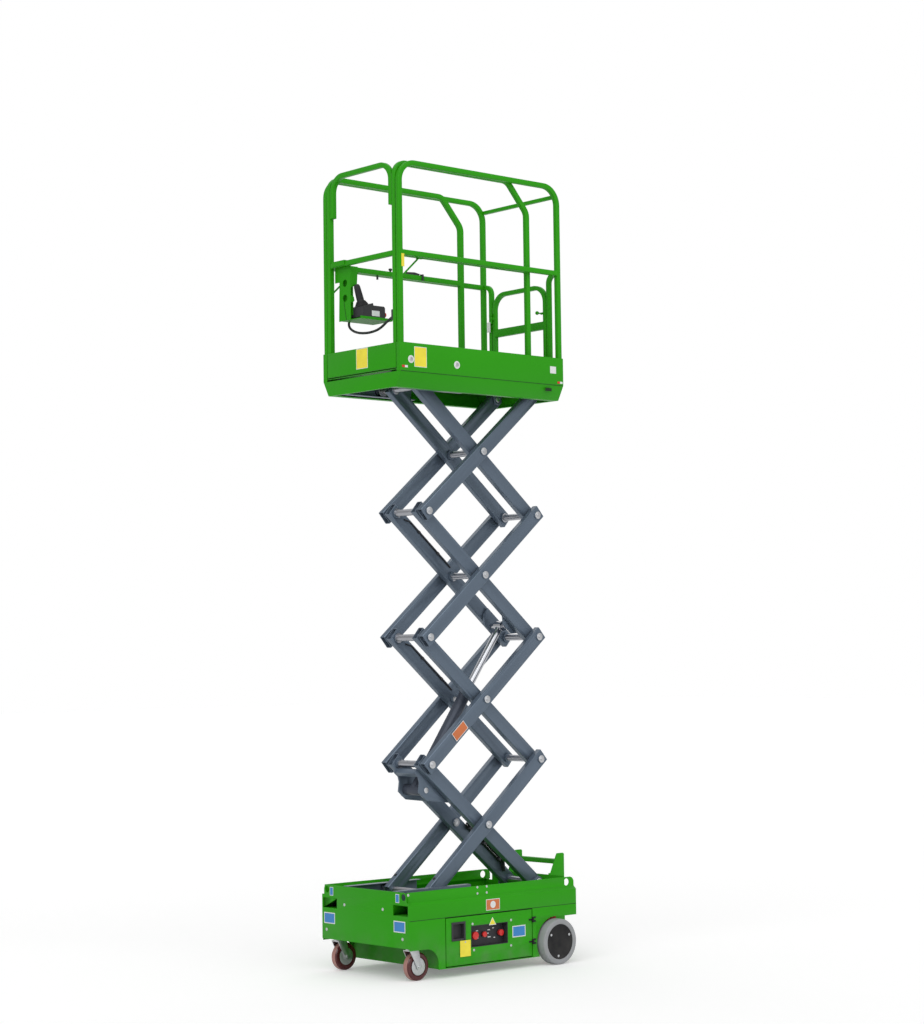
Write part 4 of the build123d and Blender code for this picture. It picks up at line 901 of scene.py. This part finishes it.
# Painted shade: dark green strips and a patch stand for the shade inside narrow gaps and a slot;
# they are not parts.
painted_gap_shade = moulded("joint_black", from_screen(16, 44, 14), 0.8)
body_plates = Pile()
WIDE_PLATE, SLIM_PLATE = (0.095, 0.060, blue_film, 0.005), (0.030, 0.046, blue_film, 0.003)
for y, z, kind in ((-0.305, 0.290, WIDE_PLATE), (0.292, 0.288, WIDE_PLATE),
                   (-0.286, 0.436, SLIM_PLATE), (0.277, 0.436, SLIM_PLATE)):
    plate(body_plates, (nose, y, z), "x", *kind)
skirt_plate = (0.064, skin, 0.364)
plate(body_plates, skirt_plate, "y", 0.100, 0.060, orange_film, 0.003)
body_plates.turned([(0, 0.0002), (0.019, 0.0002), (0.019, 0.0010), (0, 0.0010)],
                   skirt_plate, LEFT, white_film)
# Painted shade along the chassis seam under the tray's sides, where the groove lies in shade.
SEAM_Z = (0.3190, 0.3218)
for way in (1.0, -1.0):
    y0, y1 = sorted((way * (skin - 0.002), way * (skin + 0.0003)))
    body_plates.brick((-0.564, y0, SEAM_Z[0]), (0.6555, y1, SEAM_Z[1]), painted_gap_shade)
body_plates.piece("chassis_plates", "chassis", "green_paint")

door_plates = Pile()
plate(door_plates, (-0.125, skin, 0.204), "y", 0.097, 0.062, blue_film)
SIGN_X, SIGN_Z = 0.069, 0.270
for half, lift, colour in ((0.026, 0.0004, white_film), (0.021, 0.0007, yellow_film)):
    foot = SIGN_Z - half * 0.6
    corners = [(SIGN_X - half, foot), (SIGN_X + half, foot), (SIGN_X, SIGN_Z + half)]
    door_plates.prism(corners, skin - 0.0005, skin + lift, colour)
for x, z, width in ((0.146, 0.226, 0.016), (0.143, 0.186, 0.012), (0.060, 0.224, 0.018),
                    (0.066, 0.206, 0.010), (0.058, 0.186, 0.022), (0.028, 0.232, 0.012),
                    (0.020, 0.180, 0.010)):
    tick, half = Vector((x, panel_face, z)), Vector((width / 2, 0.001, 0.0025))
    door_plates.brick(tick - half, tick + half, white_film)
door_plates.piece("door_left_plates", "door_left", "green_paint")

deck_low, deck_high = reach("toe_boards")
wall = deck_high.y
side_plates = Pile()
plate(side_plates, (0.503, wall, 3.322), "y", 0.088, 0.110, yellow_film, 0.003)
plate(side_plates, (-0.484, wall, 3.325), "y", 0.046, 0.040, white_film)
for x, z in ((0.570, 3.306), (0.242, 3.299)):
    side_plates.turned([(0, -0.0005), (0.021, -0.0005), (0.021, 0.0006), (0, 0.0006)],
                       (x, wall, z), LEFT, white_film)
    side_plates.turned([(0, 0), (0.013, 0), (0.013, 0.0014), (0.009, 0.0026), (0, 0.0026)],
                       (x, wall, z), LEFT, zinc)
for x, z, colour in ((0.6235, 3.265, red_plastic), (0.6035, 3.265, white_film),
                     (-0.527, 3.256, red_plastic), (-0.547, 3.256, white_film)):
    side_plates.brick((x - 0.010, wall - 0.0005, z - 0.006),
                      (x + 0.010, wall + 0.0005, z + 0.006), colour)
side_plates.brick((0.606, wall - 0.004, 3.805), (0.626, wall - 0.0034, 3.875), yellow_film)
# Painted shadow under the toe boards' proud lower edge, then painted shade in the slot at the pan's
# rear end.
side_plates.brick((deck_low.x + 0.004, wall - 0.002, 3.2385),
                  (deck_high.x - 0.004, wall + 0.0003, 3.2415), painted_gap_shade)
side_plates.brick((-0.470, wall - 0.002, 3.202), (-0.424, wall + 0.0003, 3.220), painted_gap_shade)
post_face = reach("rear_gate_posts")[1].x
plate(side_plates, (post_face, -0.247, 3.640), "x", 0.028, 0.060, white_film, 0.003)
side_plates.piece("platform_plates", "platform", "green_paint")

sliding_plates = Pile()
toe_face = reach("extension_toe_board")[1].x
plate(sliding_plates, (toe_face, 0.009, 3.338), "x", 0.100, 0.112, yellow_film, 0.003)
plate(sliding_plates, (0.498, -0.0488, 3.606), "y", 0.055, 0.030, white_film, 0.002)
sliding_plates.piece("extension_plates", "extension", "green_paint")

arm_plates = Pile()
arm_high = reach("outer_arms_2")[1]
hang = Matrix.Translation((0.126, arm_high.y, 1.300)) @ Matrix.Rotation(ARM_LEAN, 4, "Y")
plate(arm_plates, (0.0, 0.0, 0.0), "y", 0.112, 0.056, orange_film, 0.003, hang)
arm_plates.piece("outer_2_plates", "outer_2", "arm_paint")
print("plates: 5 pieces")

# %% [markdown]
# ## A hanging tag
#
# A yellow tag hangs on a thin wire from the charger inlet. The tag is one thin
# brick with a zinc eyelet, and the wire is a turned rod that leans to the inlet.

# %% Hang the tag
tag = Pile()
tag_y = skin + 0.004
tag.brick((0.2330, tag_y, 0.104), (0.3080, tag_y + 0.0008, 0.190), yellow_film)
eyelet = (0.2705, tag_y, 0.181)
tag.turned(rod(0.005, 0.0012), eyelet, LEFT, zinc)
tag.turned(rod(0.0011, 0.034), eyelet, (0.35, 0.0, 1.0), boot_rubber, sides=10)
tag.piece("inlet_tag", "door_left", "black_plastic")

# %% [markdown]
# ## The operator's control
#
# The box has a flat rear half and a front half that slopes down, and the
# joystick stands square on that slope. It sits in a lipped green tray on a
# holed bracket that hooks over the front mid rail. The box is a pulled
# outline, the stick is turned, and the bracket's face is cut from a flat
# curve whose inner loops leave the holes.

# %% Build the box, the stick and the bracket
LEAN = math.radians(18.0)
BOX_REAR, BOX_FRONT, BOX_STEP = 0.430, 0.592, 0.516
BOX_FOOT, BOX_TOP, RIDGE = 3.583, 3.650, 3.663
BOX_RIGHT, BOX_LEFT = -0.196, -0.049


def slope_height(x):
    """Height of the box's sloping top at x."""
    return RIDGE - (x - BOX_STEP) * math.tan(LEAN)


operator_box = Pile()
operator_box.prism([
    (BOX_REAR, BOX_FOOT), (BOX_FRONT, BOX_FOOT), (BOX_FRONT, slope_height(BOX_FRONT)),
    (BOX_STEP, RIDGE), (BOX_STEP - 0.003, BOX_TOP), (BOX_REAR + 0.008, BOX_TOP),
    (BOX_REAR, BOX_TOP - 0.008),
], BOX_RIGHT, BOX_LEFT, black_plastic)
operator_box.turned([(0, -0.002), (0.008, -0.002), (0.008, 0.009), (0.0145, 0.009), (0.0145, 0.015),
                     (0.011, 0.019), (0, 0.019)], (BOX_REAR, -0.072, 3.607), REAR, red_plastic)
operator_box.brick((0.450, -0.180, BOX_TOP - 0.001), (0.500, -0.120, BOX_TOP + 0.002), boot_rubber)
for y in (-0.165, -0.135):
    operator_box.turned([(0, 0), (0.007, 0), (0.007, 0.004), (0.005, 0.006), (0, 0.006)],
                        (0.475, y, BOX_TOP), UP, white_film, sides=20)
made = operator_box.piece("operator_box", "extension", "black_plastic", bevel=0.002)
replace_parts(made, "control_box")

stick_axis = Vector((math.sin(LEAN), 0.0, math.cos(LEAN)))
stick_foot = Vector((0.552, -0.104, slope_height(0.552)))
stick = Pile()
stick.turned([(0, -0.002), (0.037, -0.002), (0.037, 0.005), (0.030, 0.011), (0.0235, 0.022),
              (0.0205, 0.027), (0.0195, 0.060), (0.0178, 0.104), (0.0160, 0.113), (0.0110, 0.121),
              (0, 0.122)], stick_foot, stick_axis, boot_rubber, sides=36)
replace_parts(stick.piece("joystick_body", "extension", "black_plastic"), "joystick")

TRAY_REAR, TRAY_FOOT = 0.382, 3.571
TRAY_TOP = TRAY_FOOT + 0.0035
FACE_X, HEAD_TOP = 0.609, 3.899
FLANGE_Y, HOLES_Y, HOLE = -0.1312, -0.175, 0.020
bracket = Pile()
face = [(-0.229, TRAY_FOOT), (-0.223, 3.790), (-0.262, 3.790),
        (-0.262, HEAD_TOP), (-0.127, HEAD_TOP), (-0.127, TRAY_FOOT)]
bracket.sheet(face, [(HOLES_Y, 3.696, HOLE), (HOLES_Y, 3.780, HOLE)], FACE_X, 0.614, green_paint)
bracket.prism([
    (FACE_X, 3.871), (0.559, 3.871), (0.566, 3.770), (0.608, 3.750), (0.608, 3.712),
    (0.588, 3.700), (0.584, 3.680), (0.594, 3.670), (FACE_X, 3.670),
], FLANGE_Y, FLANGE_Y + 0.004, green_paint)
hook_and_tray = [
    ((FACE_X, -0.244, 3.8992), (0.647, -0.139, 3.9032)),
    ((0.6425, -0.244, 3.875), (0.647, -0.139, 3.8995)),
    ((TRAY_REAR, -0.214, TRAY_FOOT), (FACE_X, -0.044, TRAY_FOOT + 0.004)),
    *(((TRAY_REAR, y, TRAY_TOP), (FACE_X, y + 0.003, 3.585)) for y in (-0.214, -0.047)),
    *(((x, -0.192, TRAY_TOP), (x + 0.006, -0.053, BOX_FOOT)) for x in (0.402, 0.557)),
    ((0.590, -0.216, 3.600), (0.593, FLANGE_Y, 3.860)),
]
for low, high in hook_and_tray:
    bracket.brick(low, high, green_paint)
bracket.turned(rod(0.0012, 0.106), (0.6147, -0.163, TRAY_FOOT), (0.0, -0.19, 0.98), boot_rubber,
               sides=8)
made = bracket.piece("control_hanger", "extension", "green_paint", bevel=0.0008)
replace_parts(made, "control_bracket")

# %% [markdown]
# ## Bars and latch of the sliding rails
#
# A thin bar stiffens each sliding corner, from the front post up to the mid
# rail, where a small pad takes it. The deck latch on the right mid rail is a
# flat lever, a knob and a pin tip below the rail.

# %% Add the corner bars and the latch
corner_bars = Pile()
upper, lower = Vector((0.464, 0.283, 3.873)), Vector((0.616, 0.283, 3.734))
for way in (1.0, -1.0):
    top = Vector((upper.x, way * upper.y, upper.z))
    run = Vector((lower.x, way * lower.y, lower.z)) - top
    corner_bars.turned(rod(0.005, run.length), top, run, green_paint, sides=16)
    y0, y1 = sorted((way * 0.274, way * 0.292))
    corner_bars.brick((0.440, y0, 3.868), (0.476, y1, 3.872), green_paint)
corner_bars.piece("corner_bars", "extension", "green_paint")

latch = Pile()
rail_top, latch_y = 3.899, -0.283
latch.prism([(-0.036, rail_top), (0.088, rail_top), (0.082, rail_top + 0.013),
             (0.020, rail_top + 0.017), (-0.024, rail_top + 0.010)],
            latch_y - 0.008, latch_y + 0.008, black_plastic)
for y, drop in ((latch_y + 0.0170, -0.028), (latch_y, 0.002)):
    latch.brick((-0.036, y, rail_top + drop), (-0.024, latch_y + 0.0225, rail_top + 0.008),
                black_plastic)
latch.turned([(0, 0), (0.009, 0), (0.009, 0.011), (0, 0.012)],
             (-0.019, latch_y, rail_top), UP, zinc)
latch.turned([(0, 0), (0.006, 0), (0.006, 0.009), (0.0105, 0.011), (0.0105, 0.018),
              (0.008, 0.021), (0, 0.021)], (0.196, latch_y, rail_top), UP, black_plastic)
latch.turned(rod(0.006, 0.024), (0.292, latch_y, 3.847), UP, black_plastic)
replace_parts(latch.piece("latch_lever", "extension", "dark_paint", bevel=0.001), "deck_latch")
print("control, bars and latch made")

# %% [markdown]
# ## Hoses on the arms
#
# Hydraulic hoses run along the right inner arms and stay with them in every
# pose, so they are fixed trim and not loose cords. Their host is a mesh of bare
# edges. The tree turns the edges into paths, rounds the bends and runs a circle
# along them. Clips hold them, and a small stop sits on each outer arm.

# %% Run the hoses and set the stops
def hose_tree():
    tree = Grower("hose_lines", **{"Hose Radius": 0.006, "Bend Radius": 0.030})
    path = tree.node("GeometryNodeMeshToCurve", inputs={"Mesh": tree.given("Geometry")})
    path = tree.node("GeometryNodeFilletCurve", {"mode": "POLY"},
                     {"Curve": path, "Count": 8, "Radius": tree.given("Bend Radius")})
    section = tree.node(CIRCLE, inputs={0: 14, 4: tree.given("Hose Radius")})
    inputs = {"Curve": path, "Profile Curve": section, "Fill Caps": True}
    return tree.end(tree.node("GeometryNodeCurveToMesh", inputs=inputs), cable_sheath)


def slanted(x, z):
    """A vector along the side view, from its x and z parts."""
    return Vector((x, 0.0, z))


# Each row: the hoses' y and height over the arm's middle line, the bends as
# (run, share of the height), the clips' runs, the clip's inner y, low and high
# side, and the hose's radius.
FIRST_ARM = (((-0.083, 0.0435), (-0.070, 0.040), (-0.083, 0.030)),
             ((0.075, 0.0), (0.115, 1.0), (0.470, 1.0)), (0.150, 0.300, 0.440),
             (-0.062, 0.021, 0.052), 0.006)
LANE, BENDS = ((-0.0865, 0.027),), ((0.580, 1.0), (0.965, 1.0), (1.005, 0.3))
SMALL_CLIP = (-0.0810, 0.020, 0.034)
hose_rows = {
    1: FIRST_ARM,
    2: (LANE, BENDS, (0.680, 0.860), SMALL_CLIP, 0.004),
    3: (LANE, BENDS, (0.700, 0.880), SMALL_CLIP, 0.004),
}
cosine, sine = math.cos(ARM_LEAN), math.sin(ARM_LEAN)
along, above = slanted(cosine, sine), slanted(-sine, cosine)
hoses = hose_tree()
for stage, (lanes, bends, clip_runs, (inside, low, high), hose_radius) in hose_rows.items():
    arm_foot = slanted(*pin_places(stage)[0])
    points, edges = [], []
    for y, lift in lanes:
        start = len(points)
        points += [arm_foot + along * run + above * lift * share + Vector((0.0, y, 0.0))
                   for run, share in bends]
        edges += [(start, start + 1), (start + 1, start + 2)]
    routes = bpy.data.meshes.new(f"arm_hoses_{stage}")
    routes.from_pydata(points, edges, [])
    grow(routes, hoses, f"inner_{stage}", "black_plastic", **{"Hose Radius": hose_radius})
    clips = Pile()
    tilt = Matrix.Translation(arm_foot) @ Matrix.Rotation(-ARM_LEAN, 4, "Y")
    for run in clip_runs:
        clips.brick((run - 0.008, -0.0905, low), (run + 0.008, inside, high), black_plastic, tilt)
    clips.piece(f"hose_clips_{stage}", f"inner_{stage}", "black_plastic", bevel=0.0015)

stops = Pile()
back, outward = slanted(-cosine, sine), slanted(sine, cosine)
for y in (OUTER_ARM_Y, -OUTER_ARM_Y):
    seat = Vector((FRONT_PIN_X, y, BASE_PIN_Z)) + back * 0.068 + outward * 0.0395
    stops.turned([(0, 0), (0.0075, 0), (0.0075, 0.006), (0.006, 0.0075), (0, 0.0075)],
                 seat, outward, black_plastic)
stops.piece("arm_stops", "outer_1", "black_plastic")
print("hoses on", len(hose_rows), "arms, stops: 2")

# %% [markdown]
# Rings of falling size make the bellows at the stick's foot, and a few even
# rings make the finger ribs of the grip.

# %% Ring the joystick
BELLOWS, RIBS = 6, 8
rings = []
for step in range(BELLOWS):
    share = step / (BELLOWS - 1)
    height, radius = 0.004 + 0.020 * share, 0.0345 - 0.0105 * share
    rings.append((stick_foot + stick_axis * height, stick_axis, radius))
for step in range(RIBS):
    height, radius = 0.040 + 0.0075 * step, 0.0196 - 0.0003 * step
    rings.append((stick_foot + stick_axis * height, stick_axis, radius))
grow(cloud("joystick_rings", rings), bellows, "extension", "black_plastic",
     **{"Fold Radius": 0.09})
print("rings:", len(rings))

# %% [markdown]
# ## The control cable
#
# A cable leaves the right end of the control box, swings under the tray and
# goes into a socket on the left post. It is one smooth spline of the third
# order, so it has no corners, and it keeps the length of its solid.

# %% Lay the control cable
CABLE_POINTS = [
    (0.520, -0.196, 3.604), (0.520, -0.250, 3.604), (0.526, -0.258, 3.556), (0.540, -0.196, 3.519),
    (0.556, -0.110, 3.497), (0.572, 0.000, 3.488), (0.592, 0.105, 3.496), (0.611, 0.196, 3.530),
    (0.618, 0.255, 3.546),
]
line = bpy.data.curves.new("control_cable_line", "CURVE")
line.dimensions = "3D"
spline = line.splines.new("NURBS")
spline.points.add(len(CABLE_POINTS) - 1)
for point, place in zip(spline.points, CABLE_POINTS):
    point.co = (*place, 1.0)
spline.order_u = 3
spline.use_endpoint_u = True
spline.resolution_u = 12
line.bevel_depth = 0.007
line.bevel_resolution = 4
line.use_fill_caps = True
line.materials.append(cable_sheath)
cable = new_object("control_cable_line", line)
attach(cable, "extension")
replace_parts(cable, "control_cable")
